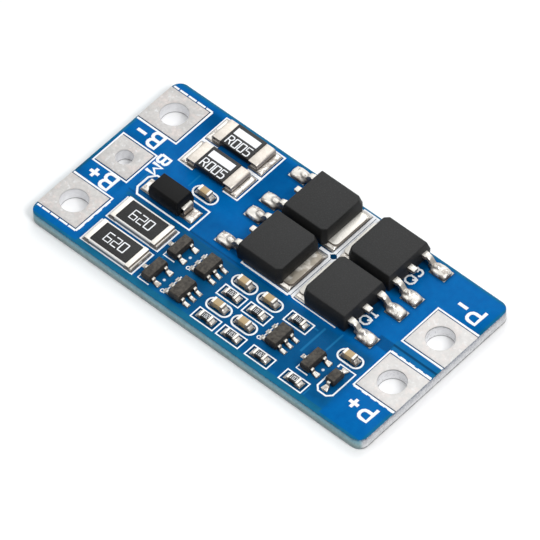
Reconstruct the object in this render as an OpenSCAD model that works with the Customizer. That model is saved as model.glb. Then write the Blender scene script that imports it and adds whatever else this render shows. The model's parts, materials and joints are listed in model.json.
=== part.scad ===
// Two-cell battery management board.
// A glass-epoxy board with five plated terminals, four power transistors, and the
// sensing, balancing and control parts between them. Millimetres. X runs along the
// board towards the output terminals, Y across it, and Z up from the underside.

/* [Board] */
// Length of the board
board_l = 47; // [43:0.5:60]
// Width of the board
board_w = 23.5; // [22:0.5:32]
// Thickness of the laminate
board_t = 1.6; // [0.8:0.1:2.4]
// Radius of the board's corners
corner_r = 1.2; // [0.4:0.1:2]
// Thickness of the copper lands under the parts
land_t = 0.08; // [0.04:0.01:0.2]

/* [Terminals] */
// Length of a main terminal pad, from the board's end inwards
main_pad_l = 5.5; // [5:0.1:5.8]
// Width of a main terminal pad
main_pad_w = 5.25; // [4.6:0.05:5.5]
// Radius of a main terminal's hole
main_hole_r = 1.6; // [1.2:0.05:1.8]
// Distance of a main terminal's hole from the board's end
main_hole_inset = 2.85; // [2.6:0.05:3]
// Length of the middle terminal pad
mid_pad_l = 4.5; // [3.6:0.1:5]
// Width of the middle terminal pad
mid_pad_w = 4.3; // [3.6:0.1:5]
// Radius of the middle terminal's hole
mid_hole_r = 1; // [0.6:0.05:1.4]
// Bare board between the left end and the middle terminal pad
mid_pad_inset = 0.6; // [0:0.1:0.8]
// Bare board between the front edge and the battery plus pad
front_margin = 1.45; // [0.6:0.05:2]
// Bare board between the rear edge and the battery minus pad
rear_margin = 1.25; // [0.6:0.05:2]
// Gap between the two output pads
output_gap = 2.25; // [1:0.05:4]
// Thickness of a pad's metal on each face of the board
pad_t = 0.1; // [0.06:0.01:0.2]
// Height of a pad's face above the board
pad_proud = 0.05; // [0.02:0.01:0.05]
// Wall of the plating in a terminal's hole
barrel_t = 0.2; // [0.16:0.01:0.3]

/* [Power transistors] */
// Length of the moulded body, from tab side to lead side
power_l = 6.1; // [5.6:0.1:6.4]
// Width of the moulded body
power_w = 6.6; // [6:0.1:6.8]
// Height of the moulded body
power_h = 2.3; // [2:0.1:2.6]
// Width of the metal tab
power_tab_w = 5.2; // [4.6:0.1:5.6]
// Length of tab that shows beside the body
power_tab_out = 1.05; // [0.6:0.05:1.3]
// Thickness of the tab and leads
power_lead_t = 0.5; // [0.4:0.05:0.6]
// Width of a lead beside the body
power_lead_w = 0.8; // [0.6:0.05:1]
// Width of an outer lead beyond its shoulder
power_neck_w = 0.65; // [0.5:0.05:0.8]
// Distance from the centre lead to an outer lead
power_lead_pitch = 2.29; // [2.1:0.05:2.4]
// Height of the leads' centre where they leave the body
power_lead_z = 1.15; // [1:0.05:1.25]
// Length of an outer lead's foot on its land
power_foot = 1.5; // [1.1:0.1:1.7]
// Length of the cut centre lead outside the body
power_stub = 0.85; // [0.4:0.05:1.1]

/* [Sense shunts] */
// Length of a shunt's moulded body
shunt_body_l = 4.15; // [3.6:0.05:4.6]
// Width of a shunt
shunt_w = 3.2; // [2.8:0.1:3.4]
// Height of a shunt
shunt_h = 0.95; // [0.85:0.05:1.3]
// Reach of a strap terminal beyond the body
shunt_strap_out = 1.2; // [0.9:0.05:1.4]
// Thickness of the strap
shunt_strap_t = 0.2; // [0.1:0.02:0.22]

/* [Bleed resistors] */
// Length of a bleed resistor
bleed_l = 6.35; // [5.8:0.05:6.6]
// Width of a bleed resistor
bleed_w = 3.2; // [2.8:0.1:3.4]
// Height of a bleed resistor
bleed_h = 0.55; // [0.4:0.05:0.8]
// Length of its end terminals
bleed_end_l = 0.62; // [0.4:0.02:0.7]

/* [Diodes] */
// Length of the power diode's body
diode_l = 4.3; // [3.9:0.1:4.6]
// Width of the power diode's body
diode_w = 2.6; // [2.2:0.1:2.9]
// Height of the power diode over its land
diode_h = 2.2; // [1.9:0.1:2.4]
// Width of the power diode's leads
diode_lead_w = 1.45; // [1.2:0.05:1.7]
// Length of the small diode's body
small_diode_l = 1.7; // [1.5:0.05:1.8]
// Width of the small diode's body
small_diode_w = 1.25; // [1.1:0.05:1.4]
// Height of the small diode over its land
small_diode_h = 0.95; // [0.8:0.05:1.1]

/* [Small packages] */
// Length of a small package's body along its row of leads
package_l = 2.9; // [2.7:0.05:3.1]
// Width of a small transistor's body
transistor_w = 1.3; // [1.2:0.05:1.4]
// Height of a small transistor over its lands
transistor_h = 1.05; // [0.9:0.05:1.3]
// Width of a control chip's body
control_w = 1.6; // [1.5:0.05:1.7]
// Height of a control chip over its lands
control_h = 1.15; // [0.9:0.05:1.4]
// Pitch of the leads
package_pitch = 0.95; // [0.85:0.01:1]
// Width of a lead
package_lead_w = 0.4; // [0.3:0.02:0.45]
// Thickness of a lead
package_lead_t = 0.13; // [0.1:0.01:0.16]

/* [Chips] */
// Length of a capacitor or chip resistor
chip_l = 1.6; // [1.4:0.05:1.7]
// Width of a capacitor or chip resistor
chip_w = 0.8; // [0.7:0.05:1]
// Height of a capacitor
capacitor_h = 0.8; // [0.5:0.05:1]
// Height of a chip resistor
resistor_h = 0.45; // [0.3:0.05:0.6]
// Length of an end cap
end_cap_l = 0.32; // [0.2:0.02:0.42]

/* [Placement] */
// The gaps of a line of parts share out the board that the parts leave
// Gap between the facing tabs
power_tab_gap = 0.9; // [0.4:0.1:1.2]
// Gap between the battery pads and the shunts
shunt_left_gap = 2.02; // [1:0.02:3]
// Gap between the shunts and the power transistors' lands
power_left_gap = 1.98; // [1:0.02:3]
// Gap between the power transistors' lands and the output pads
power_right_gap = 1.95; // [1:0.05:3]
// Gap between the battery pads and the bleed resistors
bleed_left_gap = 1.44; // [0.8:0.02:2]
// Gap between the bleed resistors and the balancing transistors
balance_gap = 0.3; // [0.2:0.05:0.6]
// Gap between the balancing transistors and their control chips
control_gap = 0.65; // [0.3:0.05:1]
// Gap between the control chips and the first column of chips
chip_left_gap = 1.23; // [0.6:0.01:2]
// Gap between the first two columns of chips
chip_column_gap = 1.27; // [0.6:0.01:2]
// Gap between the chips and the protection control chip
protection_gap = 1.15; // [0.6:0.05:2]
// Gap between the protection control chip and its transistor
switch_gap = 1.4; // [0.6:0.05:2]
// Gap between that transistor and the small diode
small_diode_gap = 0.93; // [0.6:0.01:2]
// Gap between the small diode and the output pads
output_left_gap = 1.32; // [0.6:0.01:2]
// Bare board in front of the bleed resistors
bleed_front_gap = 0.9; // [0.5:0.05:1.5]
// Gap between the bleed resistors
bleed_gap = 0.77; // [0.5:0.01:1.5]
// Gap between the bleed resistors and the power diode
diode_front_gap = 1.33; // [0.8:0.01:2]
// Gap between the power diode and the capacitor behind it
diode_rear_gap = 1.28; // [0.8:0.01:2]
// Gap between that capacitor and the shunts
shunt_front_gap = 1.42; // [0.8:0.01:2]
// Gap between the shunts
shunt_gap = 0.8; // [0.4:0.05:1.5]
// Bare board behind the shunts
shunt_rear_gap = 0.8; // [0.4:0.05:1.5]
// Bare board in front of the front row of chips
chip_front_gap = 1.18; // [0.6:0.01:2]
// Gap between the rows of chips
chip_row_gap = 1.19; // [0.8:0.01:1.5]
// Gap between the chips and the power transistors
power_front_gap = 1.65; // [1:0.05:2]
// Gap between the front and rear power transistors
power_row_gap = 0.4; // [0.2:0.05:0.8]
// Bare board behind the power transistors
power_rear_gap = 0.3; // [0.1:0.05:0.5]
// Distance of the power diode beyond the bleed resistors' centre
diode_shift = 0.23; // [0:0.01:0.4]
// Distance of the capacitor behind it beyond the power diode's centre
diode_capacitor_shift = 2.1; // [1.5:0.05:2.5]
// Distance of the small diode's capacitor before the diode's centre
small_capacitor_shift = 0.7; // [0.4:0.05:1]

/* [Hidden] */
$fn = 48;
arc_steps = 4;                 // facets in each bend of a formed lead
lead_bend_r = 0.12;            // centre-line radius of the small leads' bends
seat_z = board_t + land_t;     // the lands' faces, which carry the parts
eps = 0.01;                    // overshoot of cutters past the face they leave

// Moulded bodies
mould_inset_w = 0.1;           // drawing in of a small body's sides towards its top
mould_foot_w = 0.06;           // the same towards the underside of any moulded body
power_end_inset_w = 0.2;       // the same on a power body's ends
power_side_inset_w = 0.32;     // and on its sides
power_corner = 0.5;            // cut corners beside the tab
power_shoulder = 0.4;          // length of an outer lead's wide part outside the body
power_embed = 0.9;             // length of an outer lead inside the body
power_run = 0.7;               // outer lead from the body to its first bend
power_drop = 0.65;             // length along the board of its slope
power_bend_r = 0.35;
diode_part_z = diode_h * 0.52;
diode_inset_w = 0.22;
diode_lead_t = 0.2;
diode_lead_out = 0.35;
package_standoff = 0.08;       // air under a small package
package_run = 0.16;
package_drop = 0.12;
package_foot = 0.32;
package_embed = 0.3;
shunt_embed = 0.35;
shunt_foot = 1.1;
shunt_bend_r = 0.18;
glaze_t = 0.04;                // black glaze on a bleed resistor
glaze_margin = 0.2;
end_cap_t = 0.04;              // wall of an end cap

// Lands reach past what stands on them
land_margin = 0.12;
land_toe = 0.35;
solder_run_l = 0.28;
power_toe = 0.55;
power_land_w = 1.6;
shunt_toe = 0.75;
mound_h = power_lead_t + 0.25;

// Centres of items in a line, whose gaps share out what the items leave of a length
function total(v, n) = n == 0 ? 0 : v[n - 1] + total(v, n - 1);
function spread(length, items, gaps) =
    let (ease = (length - total(items, len(items))) / total(gaps, len(gaps)))
    [for (i = [0 : len(items) - 1]) total(items, i) + items[i] / 2 + total(gaps, i + 1) * ease];

// Lengths of the parts with their lands, along the board
power_foot_x = power_l + power_run + power_drop;
power_span = power_tab_gap + 2 * (power_tab_out + power_foot_x + power_foot + power_toe);
shunt_span = shunt_body_l + 2 * (shunt_strap_out + shunt_toe);
bleed_span = bleed_l + 2 * land_toe;
chip_span = chip_l + 2 * land_toe;
function package_toe(body_w) = body_w / 2 + package_run + package_drop + package_foot;
transistor_span = 2 * (package_toe(transistor_w) + land_toe);
control_span = 2 * (package_toe(control_w) + land_toe);

// Lines of parts along the board, at its front and rear, and across it, left and right
front_line = spread(
    board_l,
    [main_pad_l, bleed_span, transistor_span, control_span, chip_span,
     chip_span, control_span, transistor_span, small_diode_w, main_pad_l],
    [0, bleed_left_gap, balance_gap, control_gap, chip_left_gap, chip_column_gap,
     protection_gap, switch_gap, small_diode_gap, output_left_gap, 0]
);
rear_line = spread(
    board_l,
    [main_pad_l, shunt_span, power_span, main_pad_l],
    [0, shunt_left_gap, power_left_gap, power_right_gap, 0]
);
left_line = spread(
    board_w,
    [bleed_w, bleed_w, diode_w, chip_w, shunt_w, shunt_w],
    [bleed_front_gap, bleed_gap, diode_front_gap, diode_rear_gap, shunt_front_gap,
     shunt_gap, shunt_rear_gap]
);
right_line = spread(
    board_w,
    [chip_w, chip_w, chip_w, chip_w, power_w, power_w],
    [chip_front_gap, chip_row_gap, chip_row_gap, chip_row_gap, power_front_gap,
     power_row_gap, power_rear_gap]
);
bleed_x = front_line[1];
balance_x = front_line[2];
control_x = front_line[3];
chip_1_x = front_line[4];
chip_2_x = front_line[5];
protection_x = front_line[6];
switch_x = front_line[7];
small_diode_x = front_line[8];
shunt_x = rear_line[1];
power_mid_x = rear_line[2];
diode_x = bleed_x + diode_shift;
bleed_front_y = left_line[0];
bleed_rear_y = left_line[1];
row_y = right_line;            // the first four are the rows of chips
middle_y = (row_y[0] + row_y[3]) / 2;

// Places of the parts as [x, y, turn], from the board's left front corner
power_out = power_tab_gap / 2 + power_tab_out;
power_places = [
    [power_mid_x + power_out, row_y[4], 0],
    [power_mid_x - power_out, row_y[4], 180],
    [power_mid_x + power_out, row_y[5], 0],
    [power_mid_x - power_out, row_y[5], 180]
];
shunt_places = [[shunt_x, left_line[5], 0], [shunt_x, left_line[4], 0]];
bleed_places = [[bleed_x, bleed_rear_y, 0], [bleed_x, bleed_front_y, 0]];
transistor_places = [
    [balance_x, bleed_rear_y, 0],
    [balance_x, bleed_front_y, 0],
    [switch_x, middle_y, 0]
];
control_places = [
    [control_x, bleed_rear_y, 0],
    [control_x, bleed_front_y, 0],
    [protection_x, middle_y, 0]
];
diode_place = [diode_x, left_line[2], 0];
small_diode_place = [small_diode_x, middle_y - land_toe / 2, 90];
capacitor_places = [
    [chip_1_x, row_y[3], 0],
    [chip_2_x, row_y[3], 0],
    [chip_1_x, row_y[1], 0],
    [chip_2_x, row_y[1], 0],
    [small_diode_x - small_capacitor_shift, row_y[3], 0],
    [diode_x + diode_capacitor_shift, left_line[3], 0]
];
resistor_places = [
    [chip_1_x, row_y[2], 0],
    [chip_2_x, row_y[2], 0],
    [chip_1_x, row_y[0], 0],
    [chip_2_x, row_y[0], 0],
    [protection_x, row_y[3], 0],
    [protection_x, row_y[0], 0],
    [switch_x, row_y[0], 0]
];

// Terminals as [left x, front y, length, width, hole x, hole radius], from the same corner
battery_front_y = front_margin;
battery_rear_y = board_w - rear_margin - main_pad_w;
mid_y = (battery_front_y + main_pad_w + battery_rear_y - mid_pad_w) / 2;
output_x = board_l - main_pad_l;
output_front_y = board_w / 2 + 0.15 - output_gap / 2 - main_pad_w;
output_rear_y = output_front_y + main_pad_w + output_gap;
output_hole_x = board_l - main_hole_inset;
battery_minus = [0, battery_rear_y, main_pad_l, main_pad_w, main_hole_inset, main_hole_r];
battery_middle = [mid_pad_inset, mid_y, mid_pad_l, mid_pad_w, mid_pad_inset + mid_pad_l / 2, mid_hole_r];
battery_plus = [0, battery_front_y, main_pad_l, main_pad_w, main_hole_inset, main_hole_r];
output_minus = [output_x, output_rear_y, main_pad_l, main_pad_w, output_hole_x, main_hole_r];
output_plus = [output_x, output_front_y, main_pad_l, main_pad_w, output_hole_x, main_hole_r];
terminals = [battery_minus, battery_middle, battery_plus, output_minus, output_plus];

function numbered(stem, count, tail = "") = [for (i = [1 : count]) str(stem, "_", i, tail)];

// ---- Shared shapes ----

function unit(v) = v / norm(v);

// A path with each inner corner turned into an arc
function rounded_path(path, r) = [
    path[0],
    for (i = [1 : len(path) - 2])
        let (
            back = unit(path[i - 1] - path[i]),
            ahead = unit(path[i + 1] - path[i]),
            half = acos(back * ahead) / 2,
            centre = path[i] + unit(back + ahead) * r / sin(half),
            start = path[i] + back * r / tan(half) - centre,
            sweep = (180 - 2 * half) * sign(-cross(back, ahead))
        )
        for (k = [0 : arc_steps])
            let (a = atan2(start.y, start.x) + sweep * k / arc_steps)
                centre + r * [cos(a), sin(a)],
    path[len(path) - 1]
];

// Half-thickness offset of a path at one of its points, mitred
function side_step(path, i) =
    let (
        ahead = unit(path[min(i + 1, len(path) - 1)] - path[min(i, len(path) - 2)]),
        back = unit(path[max(i, 1)] - path[max(i - 1, 0)]),
        mean = unit([-back.y - ahead.y, back.x + ahead.x])
    )
    mean / (mean * [-back.y, back.x]);

// Outline of a strip of metal along a path
function strip(path, thickness) = concat(
    [for (i = [0 : len(path) - 1]) path[i] + side_step(path, i) * thickness / 2],
    [for (i = [len(path) - 1 : -1 : 0]) path[i] - side_step(path, i) * thickness / 2]
);

// A profile drawn in X and Z, given a width along Y
module along_y(width) {
    rotate([90, 0, 0]) linear_extrude(width, center = true) children();
}

// A profile drawn in Y and Z, given a length along X
module along_x(length) {
    rotate([90, 0, 90]) linear_extrude(length, center = true) children();
}

// Both ends of a part that is the same each way
module both_ends() {
    for (turn = [0, 180]) rotate([0, 0, turn]) children();
}

function mould_profile(width, height, part_z, draft) = [
    [-width / 2, part_z], [mould_foot_w - width / 2, 0], [width / 2 - mould_foot_w, 0],
    [width / 2, part_z], [width / 2 - draft, height], [draft - width / 2, height]
];

// A moulded body that draws in above and below its parting line
module moulded_body(size, part_z, draft) {
    intersection() {
        along_y(size.y) polygon(mould_profile(size.x, size.z, part_z, draft.x));
        along_x(size.x) polygon(mould_profile(size.y, size.z, part_z, draft.y));
    }
}

// Solder drawn up a face that stands at the origin and looks along X
module fillet(width, height, reach) {
    along_y(width) polygon([[0, 0], [reach, 0], [reach * 0.4, height * 0.3], [0, height]]);
}

function dome_r(base, height) = (base * base / 4 + height * height) / (2 * height);

// The upper part of a circle, standing on the X axis
module dome_profile(base, height) {
    intersection() {
        translate([0, height - dome_r(base, height)]) circle(dome_r(base, height));
        translate([-base / 2, 0]) square([base, height]);
    }
}

// A rounded heap of solder
module mound(length, width, height) {
    intersection() {
        along_y(width) dome_profile(length, height);
        along_x(length) dome_profile(width, height);
    }
}

// Puts a part on the lands at its place on the board
module at(place) {
    translate([place.x - board_l / 2, place.y - board_w / 2, seat_z]) rotate([0, 0, place.z]) children();
}

module land(x0, x1, width) {
    translate([x0, -width / 2, -land_t]) cube([x1 - x0, width, land_t]);
}

// ---- Board and terminals ----

module board_outline() {
    square([board_l - 2 * corner_r, board_w], center = true);
    square([board_l, board_w - 2 * corner_r], center = true);
    for (x = [-1, 1], y = [-1, 1])
        translate([x * (board_l / 2 - corner_r), y * (board_w / 2 - corner_r)]) circle(corner_r);
}

module pad_outline(t) {
    intersection() {
        translate([t[0] - board_l / 2, t[1] - board_w / 2]) square([t[2], t[3]]);
        board_outline();
    }
}

module at_hole(t) {
    translate([t[4] - board_l / 2, t[1] + t[3] / 2 - board_w / 2, 0]) children();
}

module board() {
    color("royalblue") difference() {
        linear_extrude(board_t) board_outline();
        for (t = terminals) {
            translate([0, 0, board_t + pad_proud - pad_t]) linear_extrude(pad_t) pad_outline(t);
            translate([0, 0, -eps]) linear_extrude(pad_t + eps) pad_outline(t);
            at_hole(t) translate([0, 0, -eps]) cylinder(r = t[5] + barrel_t, h = board_t + 2 * eps);
        }
    }
}

// One plated terminal: a pad on each face, joined through the hole
module terminal(t) {
    pad_top = board_t + pad_proud;
    color("silver") difference() {
        union() {
            translate([0, 0, pad_top - pad_t]) linear_extrude(pad_t) pad_outline(t);
            linear_extrude(pad_t) pad_outline(t);
            at_hole(t) cylinder(r = t[5] + barrel_t, h = pad_top - pad_t / 2);
        }
        at_hole(t) translate([0, 0, -eps]) cylinder(r = t[5], h = pad_top + 2 * eps);
    }
}

// ---- Power transistors: local X runs from the tab side to the leads ----

power_plate_end = power_l - 1.5;

module power_lead() {
    path = [
        [power_l - power_embed, power_lead_z],
        [power_l + power_run, power_lead_z],
        [power_foot_x, power_lead_t / 2],
        [power_foot_x + power_foot, power_lead_t / 2]
    ];
    along_y(power_neck_w) polygon(strip(rounded_path(path, power_bend_r), power_lead_t));
    translate([power_l - power_embed, -power_lead_w / 2, power_lead_z - power_lead_t / 2])
        cube([power_embed + power_shoulder, power_lead_w, power_lead_t]);
}

module power_centre_lead() {
    path = [
        [power_plate_end - power_lead_t, power_lead_t / 2],
        [power_plate_end, power_lead_t / 2],
        [power_l - power_lead_t / 2, power_lead_z],
        [power_l + power_stub, power_lead_z]
    ];
    along_y(power_lead_w) polygon(strip(path, power_lead_t));
}

module power_tab() {
    half = power_tab_w / 2;
    cut = power_tab_out / 3;
    linear_extrude(power_lead_t) polygon([
        [-power_tab_out, cut - half], [cut - power_tab_out, -half], [power_plate_end, -half],
        [power_plate_end, half], [cut - power_tab_out, half], [-power_tab_out, half - cut]
    ]);
}

module power_frame() {
    power_tab();
    power_centre_lead();
    for (side = [-1, 1]) translate([0, side * power_lead_pitch, 0]) power_lead();
}

module power_leadframe(i) {
    color("gainsboro") at(power_places[i]) power_frame();
}

module power_body(i) {
    half = power_w / 2;
    color([0.24, 0.24, 0.24]) at(power_places[i]) difference() {
        intersection() {
            translate([power_l / 2, 0, 0])
                moulded_body([power_l, power_w, power_h], power_lead_z,
                    [power_end_inset_w, power_side_inset_w]);
            linear_extrude(power_h) polygon([
                [0, power_corner - half], [power_corner, -half], [power_l, -half],
                [power_l, half], [power_corner, half], [0, half - power_corner]
            ]);
        }
        power_frame();
    }
}

module power_lands() {
    land(-power_tab_out, power_plate_end, power_w - 2 * land_margin);
    for (side = [-1, 1]) translate([0, side * power_lead_pitch, 0])
        land(power_foot_x - land_margin, power_foot_x + power_foot + power_toe, power_land_w);
}

module power_solder() {
    length = power_foot + power_toe;
    color("silver") for (place = power_places) at(place) difference() {
        for (side = [-1, 1]) translate([power_foot_x + length / 2, side * power_lead_pitch, 0])
            mound(length, power_land_w - land_margin, mound_h);
        power_frame();
    }
}

// ---- Sense shunts ----

module shunt_frame() {
    end = shunt_body_l / 2;
    path = [
        [end - shunt_embed, shunt_h - shunt_strap_t],
        [end + shunt_strap_out - shunt_strap_t / 2, shunt_h - shunt_strap_t],
        [end + shunt_strap_out - shunt_strap_t / 2, shunt_strap_t / 2],
        [end + shunt_strap_out - shunt_foot, shunt_strap_t / 2]
    ];
    both_ends() along_y(shunt_w - 0.2) polygon(strip(rounded_path(path, shunt_bend_r), shunt_strap_t));
}

module shunt_straps(i) {
    color("silver") at(shunt_places[i]) shunt_frame();
}

module shunt_body(i) {
    color([0.16, 0.16, 0.16]) at(shunt_places[i]) difference() {
        translate([0, 0, shunt_strap_t])
            moulded_body([shunt_body_l, shunt_w, shunt_h - shunt_strap_t], shunt_h / 3, [0.08, 0.08]);
        shunt_frame();
    }
}

module shunt_lands() {
    end = shunt_body_l / 2 + shunt_strap_out;
    both_ends() land(end - shunt_foot - land_margin, end + shunt_toe, shunt_w + 2 * land_margin);
}

// ---- Bleed resistors and chips: a ceramic block with a cap over each end ----

module chip_core(size) {
    translate([-size.x / 2, -size.y / 2, 0]) cube(size);
}

module chip_block(size, end_l) {
    inner = [size.x - 2 * end_cap_t, size.y - 2 * end_cap_t, size.z - 2 * end_cap_t];
    translate([0, 0, end_cap_t]) chip_core(inner);
    chip_core([size.x - 2 * end_l, size.y, size.z]);
}

module chip_caps(size, end_l) {
    difference() {
        chip_core(size);
        chip_block(size, end_l);
    }
}

module chip_lands(size, end_l) {
    both_ends() land(size.x / 2 - end_l - land_margin, size.x / 2 + land_toe, size.y + land_margin);
}

module chip_joints(size) {
    both_ends() translate([size.x / 2, 0, 0]) fillet(size.y, size.z * 0.6, solder_run_l);
}

bleed_size = [bleed_l, bleed_w, bleed_h];
capacitor_size = [chip_l, chip_w, capacitor_h];
resistor_size = [chip_l, chip_w, resistor_h];

module bleed_block(i) {
    color("white") at(bleed_places[i]) chip_block(bleed_size, bleed_end_l);
}

module bleed_terminals(i) {
    color("silver") at(bleed_places[i]) chip_caps(bleed_size, bleed_end_l);
}

module bleed_glaze() {
    size = [bleed_l - 2 * bleed_end_l, bleed_w - 2 * glaze_margin, glaze_t];
    color([0.2, 0.2, 0.2]) for (place = bleed_places) at(place) translate([0, 0, bleed_h]) chip_core(size);
}

module capacitor(i) {
    color("tan") at(capacitor_places[i]) chip_block(capacitor_size, end_cap_l);
}

module capacitor_end_caps() {
    color("silver") for (place = capacitor_places) at(place) chip_caps(capacitor_size, end_cap_l);
}

module chip_resistor(i) {
    color([0.2, 0.2, 0.2]) at(resistor_places[i]) chip_block(resistor_size, end_cap_l);
}

module chip_resistor_end_caps() {
    color("silver") for (place = resistor_places) at(place) chip_caps(resistor_size, end_cap_l);
}

// ---- Power diode: leads leave at the parting line and fold under the body ----

module diode_frame() {
    end = diode_l / 2;
    path = [
        [end - 0.5, diode_part_z],
        [end + diode_lead_out, diode_part_z],
        [end + diode_lead_out - 0.1, diode_lead_t / 2],
        [end - 1.1, diode_lead_t / 2]
    ];
    both_ends() along_y(diode_lead_w) polygon(strip(rounded_path(path, 0.2), diode_lead_t));
}

module power_diode_leads() {
    color("silver") at(diode_place) diode_frame();
}

module power_diode_body() {
    base = diode_lead_t;
    color([0.12, 0.12, 0.13]) at(diode_place) difference() {
        translate([0, 0, base]) moulded_body(
            [diode_l, diode_w, diode_h - base], diode_part_z - base, [diode_inset_w, diode_inset_w]);
        diode_frame();
    }
}

module diode_lands() {
    both_ends() land(diode_l / 2 - 1.2, diode_l / 2 + 1.5, diode_lead_w + 0.4);
}

// ---- Small packages: leads leave at the parting line and step down to the board ----

package_lead_z = package_standoff + 0.45;

// One formed lead beside a body of the given width
module package_lead(body_w) {
    foot_x = body_w / 2 + package_run + package_drop;
    path = [
        [body_w / 2 - package_embed, package_lead_z],
        [body_w / 2 + package_run, package_lead_z],
        [foot_x, package_lead_t / 2],
        [foot_x + package_foot, package_lead_t / 2]
    ];
    along_y(package_lead_w) polygon(strip(rounded_path(path, lead_bend_r), package_lead_t));
}

// Each lead's place beside a package, as [side, distance along the body]
transistor_leads = [[-1, 0], [1, -package_pitch], [1, package_pitch]];
control_leads = [for (side = [-1, 1], step = [-1 : 1]) [side, step * package_pitch]];
small_diode_leads = [[-1, 0], [1, 0]];

module beside(leads) {
    for (lead = leads)
        translate([0, lead.y, 0]) rotate([0, 0, lead.x < 0 ? 180 : 0]) children();
}

module package_frame(body_w, leads) {
    beside(leads) package_lead(body_w);
}

module package_body(body_w, body_l, height, leads) {
    difference() {
        translate([0, 0, package_standoff]) moulded_body(
            [body_w, body_l, height - package_standoff],
            package_lead_z - package_standoff, [mould_inset_w, mould_inset_w]);
        package_frame(body_w, leads);
    }
}

module package_lands(body_w, leads) {
    toe = package_toe(body_w);
    beside(leads) land(toe - package_foot - land_margin, toe + land_toe, package_lead_w + land_margin);
}

module package_joints(body_w, leads) {
    beside(leads) translate([package_toe(body_w), 0, 0])
        fillet(package_lead_w, package_lead_t, solder_run_l);
}

module small_diode_leads() {
    color("silver") at(small_diode_place) package_frame(small_diode_l, small_diode_leads);
}

module small_diode_body() {
    color([0.2, 0.2, 0.2]) at(small_diode_place)
        package_body(small_diode_l, small_diode_w, small_diode_h, small_diode_leads);
}

module transistor_frame(i) {
    color("silver") at(transistor_places[i]) package_frame(transistor_w, transistor_leads);
}

module transistor_body(i) {
    color([0.2, 0.2, 0.2]) at(transistor_places[i])
        package_body(transistor_w, package_l, transistor_h, transistor_leads);
}

module control_frame(i) {
    color("silver") at(control_places[i]) package_frame(control_w, control_leads);
}

module control_body(i) {
    color([0.22, 0.22, 0.22]) at(control_places[i])
        package_body(control_w, package_l, control_h, control_leads);
}

// ---- Lands and solder ----

module component_lands() {
    color("lightgray") {
        for (place = power_places) at(place) power_lands();
        for (place = shunt_places) at(place) shunt_lands();
        for (place = bleed_places) at(place) chip_lands(bleed_size, bleed_end_l);
        for (place = capacitor_places) at(place) chip_lands(capacitor_size, end_cap_l);
        for (place = resistor_places) at(place) chip_lands(resistor_size, end_cap_l);
        for (place = transistor_places) at(place) package_lands(transistor_w, transistor_leads);
        for (place = control_places) at(place) package_lands(control_w, control_leads);
        at(small_diode_place) package_lands(small_diode_l, small_diode_leads);
        at(diode_place) diode_lands();
    }
}

module package_solder() {
    color("silver") {
        for (place = transistor_places) at(place) package_joints(transistor_w, transistor_leads);
        for (place = control_places) at(place) package_joints(control_w, control_leads);
        at(small_diode_place) package_joints(small_diode_l, small_diode_leads);
    }
}

module chip_solder() {
    color("silver") {
        for (place = bleed_places) at(place) chip_joints(bleed_size);
        for (place = capacitor_places) at(place) chip_joints(capacitor_size);
        for (place = resistor_places) at(place) chip_joints(resistor_size);
        for (place = shunt_places) at(place) both_ends()
            translate([shunt_body_l / 2 + shunt_strap_out, 0, 0])
                fillet(shunt_w - 0.2, shunt_strap_t, solder_run_l);
    }
}

// ---- The assembly ----

board();
terminal(battery_minus);  // battery_minus_pad
terminal(battery_middle);  // battery_middle_pad
terminal(battery_plus);  // battery_plus_pad
terminal(output_minus);  // output_minus_pad
terminal(output_plus);  // output_plus_pad
component_lands();
for (i = [0 : len(power_places) - 1]) {
    power_body(i);
    power_leadframe(i);
}
for (i = [0 : len(shunt_places) - 1]) {
    shunt_body(i);
    shunt_straps(i);
}
for (i = [0 : len(bleed_places) - 1]) {
    bleed_block(i);
    bleed_terminals(i);
}
bleed_glaze();  // bleed_resistor_glaze
power_diode_body();
power_diode_leads();
small_diode_body();
small_diode_leads();
for (i = [0 : len(transistor_places) - 1]) {
    transistor_body(i);
    transistor_frame(i);
}
for (i = [0 : len(control_places) - 1]) {
    control_body(i);
    control_frame(i);
}
for (i = [0 : len(capacitor_places) - 1])
    capacitor(i);
for (i = [0 : len(resistor_places) - 1])
    chip_resistor(i);
capacitor_end_caps();
chip_resistor_end_caps();
power_solder();
package_solder();
chip_solder();
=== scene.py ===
import json
import math

import bpy
from mathutils import Matrix, Vector


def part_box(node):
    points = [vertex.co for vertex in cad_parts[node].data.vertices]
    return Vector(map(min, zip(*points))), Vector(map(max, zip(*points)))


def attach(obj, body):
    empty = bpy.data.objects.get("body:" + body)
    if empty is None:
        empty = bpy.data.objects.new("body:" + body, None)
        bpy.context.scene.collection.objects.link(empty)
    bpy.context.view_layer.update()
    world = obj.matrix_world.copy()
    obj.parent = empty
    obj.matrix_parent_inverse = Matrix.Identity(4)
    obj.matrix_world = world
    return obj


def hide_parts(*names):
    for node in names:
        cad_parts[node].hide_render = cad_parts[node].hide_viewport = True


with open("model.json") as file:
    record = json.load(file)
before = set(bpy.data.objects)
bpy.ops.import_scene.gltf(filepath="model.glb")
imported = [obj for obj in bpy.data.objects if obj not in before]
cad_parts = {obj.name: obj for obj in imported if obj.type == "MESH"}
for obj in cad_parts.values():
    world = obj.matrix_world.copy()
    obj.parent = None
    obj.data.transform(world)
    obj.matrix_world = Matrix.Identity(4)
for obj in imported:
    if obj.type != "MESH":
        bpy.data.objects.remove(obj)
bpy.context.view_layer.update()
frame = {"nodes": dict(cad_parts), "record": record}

mm = 0.001
tiny = 0.002 * mm                         # places closer than this are the same
nodes = frame["nodes"]
slotOf = {row["node"]: row["material_slot"] for row in frame["record"]["subparts"]}
boardLow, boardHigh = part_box("board")
boardCorner = boardLow / mm               # the left front corner, in millimetres
maskZ = boardHigh.z                       # the face that carries the ink
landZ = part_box("component_lands")[1].z    # the face that carries the parts
powerPitch = 2.29                         # from a power transistor's middle lead to an outer one
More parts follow.
